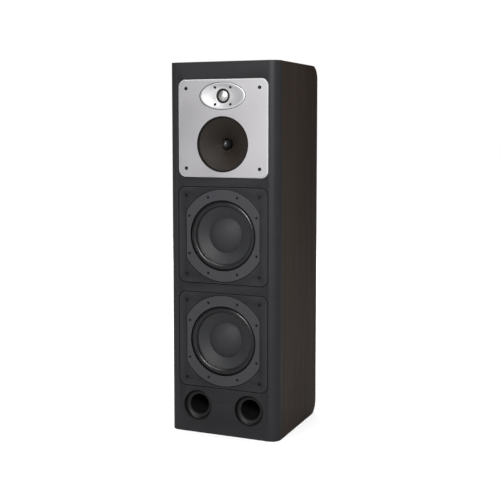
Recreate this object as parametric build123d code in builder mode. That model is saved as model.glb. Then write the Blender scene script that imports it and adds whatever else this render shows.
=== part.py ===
"""Three-way floorstanding loudspeaker: a veneered cabinet with a black front baffle, a silver head
module that carries the tweeter and the midrange unit, two bass modules, two bass ports in the foot
of the baffle and a terminal tray in the back.

Units are millimetres. +Z is up and the front looks along -Y. The origin is the middle of the
cabinet's underside. A "depth" is measured backwards from the baffle's front face. Turned outlines
are lists of (radius, depth) points.
"""

from build123d import *
from math import asin, cos, pi, radians, sin
import os

# Cabinet
cabinet_width = 320.0
cabinet_height = 1015.0
cabinet_depth = 312.0
side_thickness = 22.0
shell_thickness = 22.0  # top, rear and bottom panels
rear_bend_radius = 38.0  # outer radius of the bends above and below the rear panel
side_edge_radius = 1.5
baffle_thickness = 28.0
baffle_edge_radius = 26.0
baffle_arris = 0.8
inner_board_thickness = 18.0  # divider shelf and brace
brace_frame_width = 42.0
cable_hole_radius = 9.0
cable_hole_offset = 95.0

# Modules: square plates that lie flush in rebates of the baffle
module_size = 262.0
module_corner_radius = 20.0
module_thickness = 10.0
module_gap = 1.2
module_pitch = 288.0
head_center_drop = 177.5  # from the cabinet's top to the middle of the head plate
head_bevel = 2.4
bass_bevel = 0.8
module_screw_offset = 107.3
module_screw_head_radius = 4.5
module_screw_head_height = 4.0
module_screw_seat = 4.6
module_screw_radius = 2.5
module_screw_length = 20.0

# Fits
head_play = 0.4  # round a screw head in its counterbore
screw_play = 0.2  # round a shank in a through hole
pilot_play = 0.1  # round a shank in the wood or metal that it bites into
socket_share = 0.55  # hexagon socket against its screw head
socket_depth_share = 0.6

# Bass unit
woofer_flange_radius = 125.4
woofer_flange_half_width = 108.5
woofer_flange_corner_radius = 14.0  # between the flats and the round edge
woofer_flange_thickness = 5.5
woofer_flange_gap = 0.8
woofer_flange_bevel = 0.8
woofer_mouth_radius = 96.0
woofer_body_radius = 99.0
woofer_body_clearance = 1.0
woofer_baffle_clearance = 3.0
woofer_screw_circle_radius = 111.5
woofer_screw_angles = (27.5, 67.5, 112.5, 152.5, 207.5, 247.5, 292.5, 332.5)
woofer_screw_head_radius = 3.3
woofer_screw_head_height = 2.6
woofer_screw_seat = 3.0
woofer_screw_radius = 2.1
woofer_screw_length = 20.0
woofer_ledge_depth = 9.2  # where the surround's outer lip is glued
woofer_ledge_width = 5.0
woofer_body_straight = 16.0
surround_thickness = 1.2
surround_play = 0.2  # between the surround and the basket's mouth
roll_radius = 7.5  # outer radius of the half roll
roll_lip = 2.2
cone_wall = 1.3
cone_slope = 0.41  # depth gained for each millimetre towards the middle
woofer_cap_radius = 48.0
woofer_cap_height = 14.0
woofer_cap_thickness = 1.0
woofer_coil_radius = 19.6
former_thickness = 0.3
former_lead = 2.0  # how far the former reaches past the cone's neck and the winding
gap_clearance = 0.6
woofer_winding_thickness = 1.0
woofer_winding_length = 14.0
woofer_spider_depth = 48.0
woofer_spider_outer_radius = 66.5
spider_thickness = 0.6
spider_wave_height = 1.6
spider_half_waves = 10
spider_land = 4.0
spider_seat_play = 0.5
spider_rim_play = 0.3
woofer_motor_depth = 66.0  # front face of the top plate
woofer_motor_radius = 58.0
woofer_top_plate_thickness = 8.0
woofer_magnet_bore = 28.0
woofer_magnet_thickness = 18.0
woofer_back_plate_thickness = 7.0
motor_plate_margin = 3.0  # the steel plates are this much smaller than their magnet
woofer_vent_radius = 7.0
woofer_windows = 6
woofer_window_arc = 40.0
basket_wall = 4.0
window_margin = 3.0

# Midrange unit
midrange_offset_z = -42.2  # from the middle of the head plate
midrange_opening_radius = 75.0
midrange_ring_clearance = 0.3
midrange_ring_front = 1.5
midrange_ring_width = 1.3
midrange_shoulder_width = 1.0  # step from the ring to the basket's wall behind the flange
midrange_edge_depth = 4.7  # where the foam edge is glued
midrange_edge_thickness = 1.4
midrange_edge_width = 3.0
midrange_edge_play = 0.1
midrange_ledge_width = 1.2
midrange_rim_overlap = 1.4
midrange_flange_radius = 83.0
midrange_flange_thickness = 4.0
midrange_baffle_clearance = 2.0
midrange_cone_bulge = 3.4  # how far the cone's curved flank stands in front of a straight one
midrange_cone_wall = 0.9
midrange_cone_neck_depth = 34.0
midrange_coil_radius = 15.5
midrange_winding_thickness = 0.8
midrange_winding_length = 9.0
midrange_spider_depth = 38.0
midrange_spider_outer_radius = 44.5
midrange_motor_depth = 50.0
midrange_motor_radius = 38.0
midrange_top_plate_thickness = 5.0
midrange_magnet_bore = 22.0
midrange_magnet_thickness = 12.0
midrange_back_plate_thickness = 5.0
midrange_screw_circle_radius = 79.0
midrange_screws = 6
midrange_windows = 5
midrange_window_arc = 48.0
phase_plug_radius = 13.0
nose_radius_share = 0.72  # a point half way along the plug's nose
nose_depth_share = 0.34
phase_plug_tip_depth = 13.0
phase_plug_shoulder_depth = 34.0
phase_plug_stud_radius = 3.0
phase_plug_stud_length = 10.0

# Tweeter
tweeter_offset_z = 86.3  # from the middle of the head plate
tweeter_plate_half_width = 66.5
tweeter_plate_half_height = 36.5
tweeter_plate_gap = 0.7
tweeter_plate_thickness = 5.5
tweeter_rim = 3.0
tweeter_dish_depth = 4.0
tweeter_throat_radius = 19.3
tweeter_throat_lip = 1.5
tweeter_seal_radius = 25.5
tweeter_seal_thickness = 0.5
tweeter_roll_radius = 1.7
dome_radius = 14.4
dome_height = 5.4
dome_wall = 0.3
dome_lip = 0.8
tweeter_coil_length = 6.0
tweeter_winding_thickness = 0.5
tweeter_winding_length = 2.6
tweeter_gap_clearance = 0.4
tweeter_motor_depth = 8.6
tweeter_motor_radius = 27.0
tweeter_top_plate_thickness = 3.0
tweeter_magnet_bore = 18.0
tweeter_magnet_thickness = 8.0
tweeter_back_plate_thickness = 3.0
tweeter_body_clearance = 1.0
tweeter_baffle_clearance = 6.0
tweeter_screw_offset = 22.3

# Small screws of the tweeter, the midrange unit and the terminal tray
small_screw_head_radius = 2.9
small_screw_head_height = 1.9
small_screw_seat = 3.9
small_screw_radius = 1.5
small_screw_length = 5.2
tray_screw_length = 16.0

# Bass ports
port_offset_x = 76.2
port_center_z = 76.8
port_radius = 28.5
port_wall = 3.0
port_flare = 13.0
port_length = 138.0
port_inner_flare = 7.0
port_fit = 0.1

# Terminal tray and binding posts
tray_center_z = 190.0
tray_flange_width = 132.0
tray_flange_height = 102.0
tray_flange_thickness = 4.0
tray_recess_width = 100.0
tray_recess_height = 70.0
tray_recess_depth = 25.0
tray_wall = 2.5
tray_corner_radius = 10.0
tray_fit = 0.8
tray_screw_inset = 7.0
tray_screw_seat = 2.2
post_spacing = 38.0
post_radius = 4.0
post_socket_radius = 2.05
post_socket_depth = 12.0
post_collar_radius = 8.5
post_collar_height = 3.0
post_tail_length = 14.0
post_nut_size = 7.0
post_nut_height = 4.0
washer_thickness = 1.2
thread_play = 0.08
knob_radius = 9.0
knob_bore_chamfer = 0.6
knob_length = 14.0
knob_flutes = 12
knob_flute_radius = 1.4
knob_standoff = 0.2
knob_cap = 2.0
knob_mouth_radius = 2.6
knob_cap_play = 0.3

# Crossover
board_width = 150.0
board_height = 120.0
board_thickness = 1.6
board_center_z = 335.0
standoff_height = 8.0
standoff_radius = 4.0
standoff_inset = 8.0
inductor_radius = 21.0
inductor_bore = 8.0
inductor_height = 24.0
capacitor_radius = 9.0
capacitor_length = 34.0
capacitor_pitch = 22.0
cable_radius = 2.4
bend_share = 0.45  # of the shorter run beside a cable's corner

# Solder lugs on the baskets, one at the side of a spoke
lug_width = 12.0
woofer_lug_radius = 80.0
woofer_lug_front = 38.0
woofer_lug_back = 54.0
woofer_lug_angles = {"upper": 240.0, "lower": 120.0}
midrange_lug_radius = 56.0
midrange_lug_front = 28.0
midrange_lug_back = 42.0
midrange_lug_angle = 342.0

# Spike inserts in the underside
insert_side_edge = 20.0
insert_front_edge = 24.0
insert_rear_edge = 14.0
insert_radius = 6.0
insert_bore_radius = 3.4
insert_depth = 18.0

# Acoustic wadding
wadding_thickness = 20.0
wadding_margin = 12.0

# Worked out from the values above
front_y = -cabinet_depth / 2
rear_y = cabinet_depth / 2
inner_width = cabinet_width - 2 * side_thickness
inner_rear_y = rear_y - shell_thickness
baffle_back_y = front_y + baffle_thickness
carcass_middle_y = (baffle_back_y + rear_y) / 2
head_center_z = cabinet_height - head_center_drop
upper_woofer_z = head_center_z - module_pitch
lower_woofer_z = head_center_z - 2 * module_pitch
divider_z = head_center_z - module_pitch / 2
brace_z = upper_woofer_z - module_pitch / 2
midrange_z = head_center_z + midrange_offset_z
tweeter_z = head_center_z + tweeter_offset_z
tray_floor_y = rear_y - tray_recess_depth
woofers = {"upper": upper_woofer_z, "lower": lower_woofer_z}
sides = {"left": -1, "right": 1}
posts = {"negative": -post_spacing / 2, "positive": post_spacing / 2}
module_corners = [(x, z) for x in (-1, 1) for z in (-1, 1)]
surround_outer_radius = woofer_mouth_radius - surround_play
roll_outer_radius = surround_outer_radius - roll_lip
roll_center_radius = roll_outer_radius - roll_radius
roll_inner_radius = roll_center_radius - roll_radius
cone_rim_radius = roll_inner_radius + surround_thickness
cone_flank_radius = cone_rim_radius - surround_thickness - roll_lip
insert_x = inner_width / 2 - insert_side_edge
insert_front_y = baffle_back_y + insert_front_edge
insert_rear_y = rear_y - rear_bend_radius - insert_rear_edge
insert_places = [(x, y) for x in (-insert_x, insert_x) for y in (insert_front_y, insert_rear_y)]
port_outer_radius = port_radius + port_wall
port_end_depth = port_flare + port_length

os.makedirs("parts", exist_ok=True)


def keep(piece, name):
    """Label a finished piece and write its STEP file."""
    piece.part.label = name
    export_step(piece.part, f"parts/{name}.step")


def facing(depth):
    """The plane that looks out of the front at a depth. Extruding by a minus amount goes back."""
    return Plane.XZ.offset(-(front_y + depth))


def beside(x, z):
    """The half plane of a turned outline, with the radius across and the depth upwards."""
    return Plane(origin=(x, front_y, z), x_dir=(1, 0, 0), z_dir=(0, 0, 1))


def spin(x, z):
    """The front-to-back axis that a turned piece is turned about."""
    return Axis((x, front_y, z), (0, 1, 0))


def turn(outline, x, z, mode=Mode.ADD):
    """Turn a straight-sided (radius, depth) outline inside the part that is being built."""
    with BuildSketch(beside(x, z)) as half:
        Polygon(*outline, align=None)
    revolve(half.sketch, axis=spin(x, z), mode=mode)


def turn_ring(inner, outer, front, back, x, z, mode=Mode.ADD):
    """Turn a plain ring or, with an inner radius of 0, a plain disc."""
    turn([(inner, front), (outer, front), (outer, back), (inner, back)], x, z, mode)


def flange_outline(gap):
    """A bass unit's flange, grown by a gap: a circle with a flat on each side and round corners."""
    with BuildSketch(Plane.XY) as outline:
        Circle(woofer_flange_radius + gap)
        Rectangle(2 * (woofer_flange_half_width + gap), 2 * (woofer_flange_radius + gap),
                  mode=Mode.INTERSECT)
        fillet(outline.vertices(), radius=woofer_flange_corner_radius + gap)
    return outline.sketch


def cone_depth(radius):
    """Depth of the bass cone's front face at a radius."""
    return woofer_ledge_depth + (cone_flank_radius - radius) * cone_slope


def arc_middle(outer_radius, outer_depth, height):
    """The point half way along a dome's arc from its rim to its apex, for a rise of height."""
    sphere = (outer_radius**2 + height**2) / (2 * height)
    half_angle = asin(outer_radius / sphere) / 2
    return sphere * sin(half_angle), outer_depth - height + sphere * (1 - cos(half_angle))


# Cabinet carcass


def carcass_outline(inset, radius):
    """Side view of the carcass behind the baffle, bent at the two rear corners."""
    length = rear_y - baffle_back_y
    with BuildSketch(mode=Mode.PRIVATE) as outline:
        with Locations((carcass_middle_y - inset / 2, cabinet_height / 2)):
            Rectangle(length - inset, cabinet_height - 2 * inset)
        fillet(outline.vertices().group_by(Axis.X)[-1], radius)
    return outline.sketch


def bent_shell(low_z, high_z):
    """The stretch of the wrapped top, rear and bottom shell between two heights."""
    with BuildPart() as piece:
        with BuildSketch(Plane.YZ.offset(-inner_width / 2)):
            add(carcass_outline(0, rear_bend_radius))
            add(
                carcass_outline(shell_thickness, rear_bend_radius - shell_thickness),
                mode=Mode.SUBTRACT,
            )
            with Locations((carcass_middle_y, (low_z + high_z) / 2)):
                Rectangle(cabinet_depth, high_z - low_z, mode=Mode.INTERSECT)
        extrude(amount=inner_width)
    return piece


for side, sign in sides.items():
    outer_x = sign * cabinet_width / 2
    with BuildPart() as side_panel:
        with BuildSketch(Plane.YZ.offset(outer_x)):
            add(carcass_outline(0, rear_bend_radius))
        extrude(amount=-sign * side_thickness)
        rim = side_panel.faces().sort_by(Axis.X)[-1 if sign > 0 else 0].outer_wire().edges()
        fillet([edge for edge in rim if edge.center().Y > baffle_back_y + 1], side_edge_radius)
    keep(side_panel, f"side_panel_{side}")

top_panel = bent_shell(cabinet_height - rear_bend_radius, cabinet_height)
keep(top_panel, "top_panel")

with BuildPart() as bottom_panel:
    add(bent_shell(0, rear_bend_radius).part)
    with BuildSketch(Plane.XY):
        with Locations(*insert_places):
            Circle(insert_radius)
    extrude(amount=insert_depth, mode=Mode.SUBTRACT)
keep(bottom_panel, "bottom_panel")

with BuildPart() as spike_inserts:
    with BuildSketch(Plane.XY):
        with Locations(*insert_places):
            Circle(insert_radius)
            Circle(insert_bore_radius, mode=Mode.SUBTRACT)
    extrude(amount=insert_depth)
keep(spike_inserts, "spike_inserts")

with BuildPart() as rear_panel:
    add(bent_shell(rear_bend_radius, cabinet_height - rear_bend_radius).part)
    with BuildSketch(Plane.XZ.offset(-rear_y)):
        with Locations((0, tray_center_z)):
            RectangleRounded(tray_flange_width + 2 * tray_fit, tray_flange_height + 2 * tray_fit,
                             tray_corner_radius + tray_fit)
    extrude(amount=tray_flange_thickness, mode=Mode.SUBTRACT)
    with BuildSketch(Plane.XZ.offset(-rear_y)):
        with Locations((0, tray_center_z)):
            Rectangle(tray_recess_width + 2 * tray_wall + 2 * tray_fit,
                      tray_recess_height + 2 * tray_wall + 2 * tray_fit)
    extrude(amount=shell_thickness, mode=Mode.SUBTRACT)
    with BuildSketch(Plane.XZ.offset(-rear_y)):
        with Locations((0, tray_center_z)):
            with GridLocations(tray_flange_width - 2 * tray_screw_inset,
                               tray_flange_height - 2 * tray_screw_inset, 2, 2):
                Circle(small_screw_radius + pilot_play)
    extrude(amount=tray_screw_seat + tray_screw_length + 1, mode=Mode.SUBTRACT)
keep(rear_panel, "rear_panel")


def module_square(size_margin):
    """The outline of a module, larger all round by a margin, in the sketch being drawn."""
    RectangleRounded(module_size + 2 * size_margin, module_size + 2 * size_margin,
                     module_corner_radius + size_margin)


def drill(plane, places, radius, depth):
    """Holes of one radius at places on a plane, going back to a depth."""
    with BuildSketch(plane) as holes:
        with Locations(*places):
            Circle(radius)
    extrude(holes.sketch, amount=-depth, mode=Mode.SUBTRACT)


def module_screw_places(z):
    """The four corner screws of the module at a height."""
    return [(x * module_screw_offset, z + up * module_screw_offset) for x, up in module_corners]


def woofer_screw_places(z):
    """The eight screws round a bass unit."""
    return [
        (woofer_screw_circle_radius * cos(radians(a)), z + woofer_screw_circle_radius * sin(radians(a)))
        for a in woofer_screw_angles
    ]


def midrange_screw_places():
    """The screws behind the head plate that hold the midrange unit."""
    return [
        (midrange_screw_circle_radius * sin(2 * pi * turn_share / midrange_screws),
         midrange_z + midrange_screw_circle_radius * cos(2 * pi * turn_share / midrange_screws))
        for turn_share in range(midrange_screws)
    ]


def tweeter_screw_places():
    """The four screws round the tweeter's mouth."""
    return [(x * tweeter_screw_offset, tweeter_z + up * tweeter_screw_offset) for x, up in module_corners]


module_places = [head_center_z, upper_woofer_z, lower_woofer_z]
all_module_screws = [place for z in module_places for place in module_screw_places(z)]
all_woofer_screws = [place for z in woofers.values() for place in woofer_screw_places(z)]

with BuildPart() as front_baffle:
    with BuildSketch(facing(0)):
        with Locations((0, cabinet_height / 2)):
            Rectangle(cabinet_width, cabinet_height)
    extrude(amount=-baffle_thickness)
    upright_edges = front_baffle.edges().filter_by(Axis.Z).group_by(Axis.Y)[0]
    fillet(upright_edges, baffle_edge_radius)
    for z in module_places:
        with BuildSketch(facing(0)):
            with Locations((0, z)):
                module_square(module_gap)
        extrude(amount=-module_thickness, mode=Mode.SUBTRACT)
    drill(facing(0), all_module_screws, module_screw_radius + pilot_play,
          module_screw_seat + module_screw_length + 1)
    drill(facing(0), all_woofer_screws, woofer_screw_radius + pilot_play,
          woofer_screw_seat + woofer_screw_length + 1)
    for z in woofers.values():
        drill(facing(0), [(0, z)], woofer_body_radius + woofer_baffle_clearance, baffle_thickness)
    drill(facing(0), [(0, midrange_z)], midrange_flange_radius + midrange_baffle_clearance,
          baffle_thickness)
    drill(facing(0), [(0, tweeter_z)], tweeter_motor_radius + tweeter_baffle_clearance,
          baffle_thickness)
    for sign in sides.values():
        with BuildSketch(beside(sign * port_offset_x, port_center_z)):
            with BuildLine():
                mouth = port_radius + port_flare
                Line((mouth, 0), (0, 0))
                Line((0, 0), (0, port_flare))
                Line((0, port_flare), (port_radius, port_flare))
                RadiusArc((port_radius, port_flare), (mouth, 0), port_flare)
            make_face()
        revolve(axis=spin(sign * port_offset_x, port_center_z), mode=Mode.SUBTRACT)
        turn_ring(0, port_outer_radius + port_fit, port_flare, baffle_thickness,
                  sign * port_offset_x, port_center_z, Mode.SUBTRACT)
keep(front_baffle, "front_baffle")

with BuildPart() as divider_shelf:
    with BuildSketch(Plane.XY.offset(divider_z - inner_board_thickness / 2)):
        with Locations((0, (baffle_back_y + inner_rear_y) / 2)):
            Rectangle(inner_width, inner_rear_y - baffle_back_y)
        with Locations((cable_hole_offset, inner_rear_y - 3 * cable_hole_radius)):
            Circle(cable_hole_radius, mode=Mode.SUBTRACT)
    extrude(amount=inner_board_thickness)
keep(divider_shelf, "divider_shelf")

with BuildPart() as window_brace:
    brace_length = inner_rear_y - baffle_back_y
    window_width = (inner_width - 3 * brace_frame_width) / 2
    window_length = (brace_length - 3 * brace_frame_width) / 2
    with BuildSketch(Plane.XY.offset(brace_z - inner_board_thickness / 2)):
        with Locations((0, (baffle_back_y + inner_rear_y) / 2)):
            Rectangle(inner_width, brace_length)
            with GridLocations(window_width + brace_frame_width,
                               window_length + brace_frame_width, 2, 2):
                RectangleRounded(window_width, window_length, cable_hole_radius,
                                 mode=Mode.SUBTRACT)
    extrude(amount=inner_board_thickness)
keep(window_brace, "window_brace")


# Screws


def screws(places, head_depth, head_radius, head_height, shank_radius, length, way=1):
    """Socket-head screws whose heads start at a depth. A way of -1 drives them from behind."""
    with BuildPart() as group:
        seat = head_depth + way * head_height
        for x, z in places:
            turn([(0, head_depth), (head_radius, head_depth), (head_radius, seat),
                  (shank_radius, seat), (shank_radius, seat + way * length),
                  (0, seat + way * length)], x, z)
        with BuildSketch(facing(head_depth)):
            with Locations(*places):
                RegularPolygon(head_radius * socket_share, 6)
        extrude(amount=-way * head_height * socket_depth_share, mode=Mode.SUBTRACT)
    return group


module_screws = screws(all_module_screws, module_screw_seat - module_screw_head_height,
                       module_screw_head_radius, module_screw_head_height,
                       module_screw_radius, module_screw_length)
keep(module_screws, "module_screws")

woofer_screws = screws(all_woofer_screws, woofer_screw_seat - woofer_screw_head_height,
                       woofer_screw_head_radius, woofer_screw_head_height,
                       woofer_screw_radius, woofer_screw_length)
keep(woofer_screws, "woofer_screws")

midrange_screw_head_depth = module_thickness + midrange_flange_thickness + small_screw_head_height
with BuildPart() as head_unit_screws:
    add(screws(tweeter_screw_places(), small_screw_seat - small_screw_head_height,
               small_screw_head_radius, small_screw_head_height,
               small_screw_radius, small_screw_length).part)
    add(screws(midrange_screw_places(), midrange_screw_head_depth,
               small_screw_head_radius, small_screw_head_height,
               small_screw_radius, small_screw_length + midrange_flange_thickness, -1).part)
keep(head_unit_screws, "head_unit_screws")


# Head module

tweeter_body_radius = tweeter_motor_radius + tweeter_body_clearance
with BuildPart() as head_plate:
    with BuildSketch(facing(0)):
        with Locations((0, head_center_z)):
            module_square(0)
    extrude(amount=-module_thickness)
    chamfer(head_plate.faces().sort_by(Axis.Y)[0].outer_wire().edges(), head_bevel)
    drill(facing(0), [(0, midrange_z)], midrange_opening_radius, module_thickness)
    with BuildSketch(facing(0)):
        with Locations((0, tweeter_z)):
            Ellipse(tweeter_plate_half_width + tweeter_plate_gap,
                    tweeter_plate_half_height + tweeter_plate_gap)
    extrude(amount=-tweeter_plate_thickness, mode=Mode.SUBTRACT)
    drill(facing(0), [(0, tweeter_z)], tweeter_body_radius, module_thickness)
    drill(facing(0), tweeter_screw_places(), small_screw_radius + pilot_play, module_thickness)
    drill(facing(0), module_screw_places(head_center_z),
          module_screw_head_radius + head_play, module_screw_seat)
    drill(facing(0), module_screw_places(head_center_z),
          module_screw_radius + screw_play, module_thickness)
    with BuildSketch(facing(module_thickness)):
        with Locations(*midrange_screw_places()):
            Circle(small_screw_radius + pilot_play)
    extrude(amount=small_screw_length + 1, mode=Mode.SUBTRACT)
keep(head_plate, "head_plate")

with BuildPart() as tweeter_faceplate:
    with BuildSketch(facing(0)):
        with Locations((0, tweeter_z)):
            Ellipse(tweeter_plate_half_width, tweeter_plate_half_height)
    extrude(amount=-tweeter_plate_thickness)
    with BuildSketch(facing(0)):
        with Locations((0, tweeter_z)):
            Ellipse(tweeter_plate_half_width - tweeter_rim, tweeter_plate_half_height - tweeter_rim)
    with BuildSketch(facing(tweeter_dish_depth)):
        with Locations((0, tweeter_z)):
            Circle(tweeter_throat_radius + tweeter_throat_lip)
    loft(mode=Mode.SUBTRACT)
    drill(facing(0), [(0, tweeter_z)], tweeter_throat_radius, tweeter_plate_thickness)
    drill(facing(0), tweeter_screw_places(), small_screw_head_radius + head_play, small_screw_seat)
    drill(facing(0), tweeter_screw_places(), small_screw_radius + screw_play,
          tweeter_plate_thickness)
keep(tweeter_faceplate, "tweeter_faceplate")

dome_base = tweeter_plate_thickness + tweeter_seal_thickness
roll_foot = dome_radius + 2 * tweeter_roll_radius
with BuildPart() as tweeter_surround:
    with BuildSketch(beside(0, tweeter_z)):
        with BuildLine():
            crest = dome_radius + tweeter_roll_radius
            inner_roll = tweeter_roll_radius - tweeter_seal_thickness
            ThreePointArc((dome_radius, dome_base), (crest, dome_base - tweeter_roll_radius),
                          (roll_foot, dome_base))
            Line((roll_foot, dome_base), (roll_foot, tweeter_plate_thickness))
            Line((roll_foot, tweeter_plate_thickness), (tweeter_seal_radius, tweeter_plate_thickness))
            Line((tweeter_seal_radius, tweeter_plate_thickness),
                 (tweeter_seal_radius, dome_base + tweeter_seal_thickness))
            Line((tweeter_seal_radius, dome_base + tweeter_seal_thickness),
                 (crest + inner_roll, dome_base + tweeter_seal_thickness))
            Line((crest + inner_roll, dome_base + tweeter_seal_thickness),
                 (crest + inner_roll, dome_base))
            ThreePointArc((crest + inner_roll, dome_base), (crest, dome_base - inner_roll),
                          (crest - inner_roll, dome_base))
            Line((crest - inner_roll, dome_base), (dome_radius, dome_base))
        make_face()
    revolve(axis=spin(0, tweeter_z))
keep(tweeter_surround, "tweeter_surround")

with BuildPart() as tweeter_dome:
    with BuildSketch(beside(0, tweeter_z)):
        with BuildLine():
            outer_mid = arc_middle(dome_radius, dome_base, dome_height)
            inner_mid = arc_middle(dome_radius - dome_wall, dome_base, dome_height - dome_wall)
            ThreePointArc((0, dome_base - dome_height), 
                          (outer_mid[0], outer_mid[1]), (dome_radius, dome_base))
            Line((dome_radius, dome_base), (dome_radius, dome_base + dome_lip))
            Line((dome_radius, dome_base + dome_lip), (dome_radius - dome_wall, dome_base + dome_lip))
            Line((dome_radius - dome_wall, dome_base + dome_lip),
                 (dome_radius - dome_wall, dome_base))
            ThreePointArc((dome_radius - dome_wall, dome_base), (inner_mid[0], inner_mid[1]),
                          (0, dome_base - dome_height + dome_wall))
            Line((0, dome_base - dome_height + dome_wall), (0, dome_base - dome_height))
        make_face()
    revolve(axis=spin(0, tweeter_z))
keep(tweeter_dome, "tweeter_dome")

tweeter_coil_end = dome_base + tweeter_coil_length
tweeter_gap_middle = tweeter_motor_depth + tweeter_top_plate_thickness / 2
with BuildPart() as tweeter_voice_coil:
    coil_outer = dome_radius - dome_wall
    turn_ring(coil_outer - dome_wall, coil_outer, dome_base, tweeter_coil_end, 0, tweeter_z)
    turn_ring(coil_outer, coil_outer + tweeter_winding_thickness,
              tweeter_gap_middle - tweeter_winding_length / 2,
              tweeter_gap_middle + tweeter_winding_length / 2, 0, tweeter_z)
keep(tweeter_voice_coil, "tweeter_voice_coil")

tweeter_gap_radius = coil_outer + tweeter_winding_thickness + tweeter_gap_clearance
tweeter_magnet_depth = tweeter_motor_depth + tweeter_top_plate_thickness
tweeter_back_depth = tweeter_magnet_depth + tweeter_magnet_thickness
tweeter_spacer_front = dome_base + tweeter_seal_thickness
with BuildPart() as tweeter_top_plate:
    turn([(tweeter_gap_radius, tweeter_motor_depth),
          (tweeter_seal_radius - 2 * tweeter_roll_radius, tweeter_motor_depth),
          (tweeter_seal_radius - 2 * tweeter_roll_radius, tweeter_spacer_front),
          (tweeter_motor_radius, tweeter_spacer_front),
          (tweeter_motor_radius, tweeter_magnet_depth),
          (tweeter_gap_radius, tweeter_magnet_depth)], 0, tweeter_z)
keep(tweeter_top_plate, "tweeter_top_plate")

with BuildPart() as tweeter_magnet:
    turn_ring(tweeter_magnet_bore, tweeter_motor_radius, tweeter_magnet_depth, tweeter_back_depth,
              0, tweeter_z)
keep(tweeter_magnet, "tweeter_magnet")

with BuildPart() as tweeter_yoke:
    pole_radius = coil_outer - dome_wall - tweeter_gap_clearance
    turn_ring(0, pole_radius, tweeter_motor_depth, tweeter_back_depth, 0, tweeter_z)
    turn_ring(0, tweeter_motor_radius - motor_plate_margin, tweeter_back_depth,
              tweeter_back_depth + tweeter_back_plate_thickness, 0, tweeter_z)
keep(tweeter_yoke, "tweeter_yoke")


# Spiders: corrugated cloth rings between a voice coil's former and its basket


def spider(inner, outer, depth, x, z):
    """A corrugated ring whose outer land is glued down at a depth."""
    front = depth - spider_thickness
    pitch = (outer - spider_land - inner) / spider_half_waves
    with BuildPart() as piece:
        with BuildSketch(beside(x, z)):
            with BuildLine():
                for face in (front, depth):
                    for wave in range(spider_half_waves):
                        start = inner + wave * pitch
                        rise = spider_wave_height / 2 * (1 if wave % 2 else -1)
                        ThreePointArc((start, face), (start + pitch / 2, face + rise),
                                      (start + pitch, face))
                    Line((outer - spider_land, face), (outer, face))
                Line((inner, front), (inner, depth))
                Line((outer, front), (outer, depth))
            make_face()
        revolve(axis=spin(x, z))
    return piece


def basket_windows(count, arc, inner, outer, front, back, z):
    """Cut the windows between a basket's spokes, over a stretch of its depth."""
    half = arc / 2
    corners = [(r * cos(radians(a)), r * sin(radians(a)))
               for r, a in ((inner, -half), (outer, -half), (outer, half), (inner, half))]
    with BuildSketch(facing(front)) as openings:
        with Locations((0, z)):
            with PolarLocations(0, count, start_angle=90):
                Polygon(*corners, align=None)
    extrude(openings.sketch, amount=front - back, mode=Mode.SUBTRACT)


def lug_place(radius, angle, z):
    """Where a solder lug stands on a basket's back."""
    return radius * cos(radians(angle)), z + radius * sin(radians(angle))


def solder_lug(place, front, back):
    """Add a block for the leads to a basket, flat at the back."""
    with BuildSketch(facing(front)) as block:
        with Locations(place):
            Rectangle(lug_width, lug_width)
    extrude(block.sketch, amount=front - back)


# Midrange unit

with BuildPart() as midrange_basket:
    ring_outer = midrange_opening_radius - midrange_ring_clearance
    ring_inner = ring_outer - midrange_ring_width
    ledge_inner = ring_inner - midrange_ledge_width
    flange_front = module_thickness
    flange_back = flange_front + midrange_flange_thickness
    spider_seat_inner = midrange_spider_outer_radius - spider_land + spider_seat_play
    coil_room = midrange_coil_radius + 2 * midrange_winding_thickness + gap_clearance
    base_front = midrange_motor_depth - basket_wall
    turn([(ring_outer, midrange_ring_front), (ring_outer, flange_front),
          (midrange_flange_radius, flange_front), (midrange_flange_radius, flange_back),
          (ring_outer + midrange_shoulder_width, flange_back),
          (midrange_spider_outer_radius + 2 * basket_wall, midrange_spider_depth),
          (midrange_motor_radius, midrange_motor_depth), (coil_room, midrange_motor_depth),
          (coil_room, base_front), (spider_seat_inner - basket_wall, base_front),
          (spider_seat_inner, midrange_spider_depth),
          (midrange_spider_outer_radius + spider_rim_play, midrange_spider_depth),
          (ledge_inner - basket_wall, flange_back),
          (ledge_inner, flange_front), (ledge_inner, midrange_edge_depth),
          (ring_inner, midrange_edge_depth), (ring_inner, midrange_ring_front)], 0, midrange_z)
    basket_windows(midrange_windows, midrange_window_arc, spider_seat_inner + basket_wall,
                   ring_outer + midrange_shoulder_width, flange_back + window_margin,
                   midrange_spider_depth - window_margin, midrange_z)
    drill(facing(flange_front), midrange_screw_places(), small_screw_radius + screw_play,
          midrange_flange_thickness)
    solder_lug(lug_place(midrange_lug_radius, midrange_lug_angle, midrange_z),
               midrange_lug_front, midrange_lug_back)
keep(midrange_basket, "midrange_basket")

midrange_cone_radius = ring_inner - midrange_edge_width
with BuildPart() as midrange_edge:
    edge_front = midrange_edge_depth - midrange_edge_thickness
    turn_ring(midrange_cone_radius, ring_inner - midrange_edge_play, edge_front, midrange_edge_depth,
              0, midrange_z)
    fillet(midrange_edge.faces().sort_by(Axis.Y)[0].edges(), midrange_edge_thickness / 2)
keep(midrange_edge, "midrange_edge")

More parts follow.
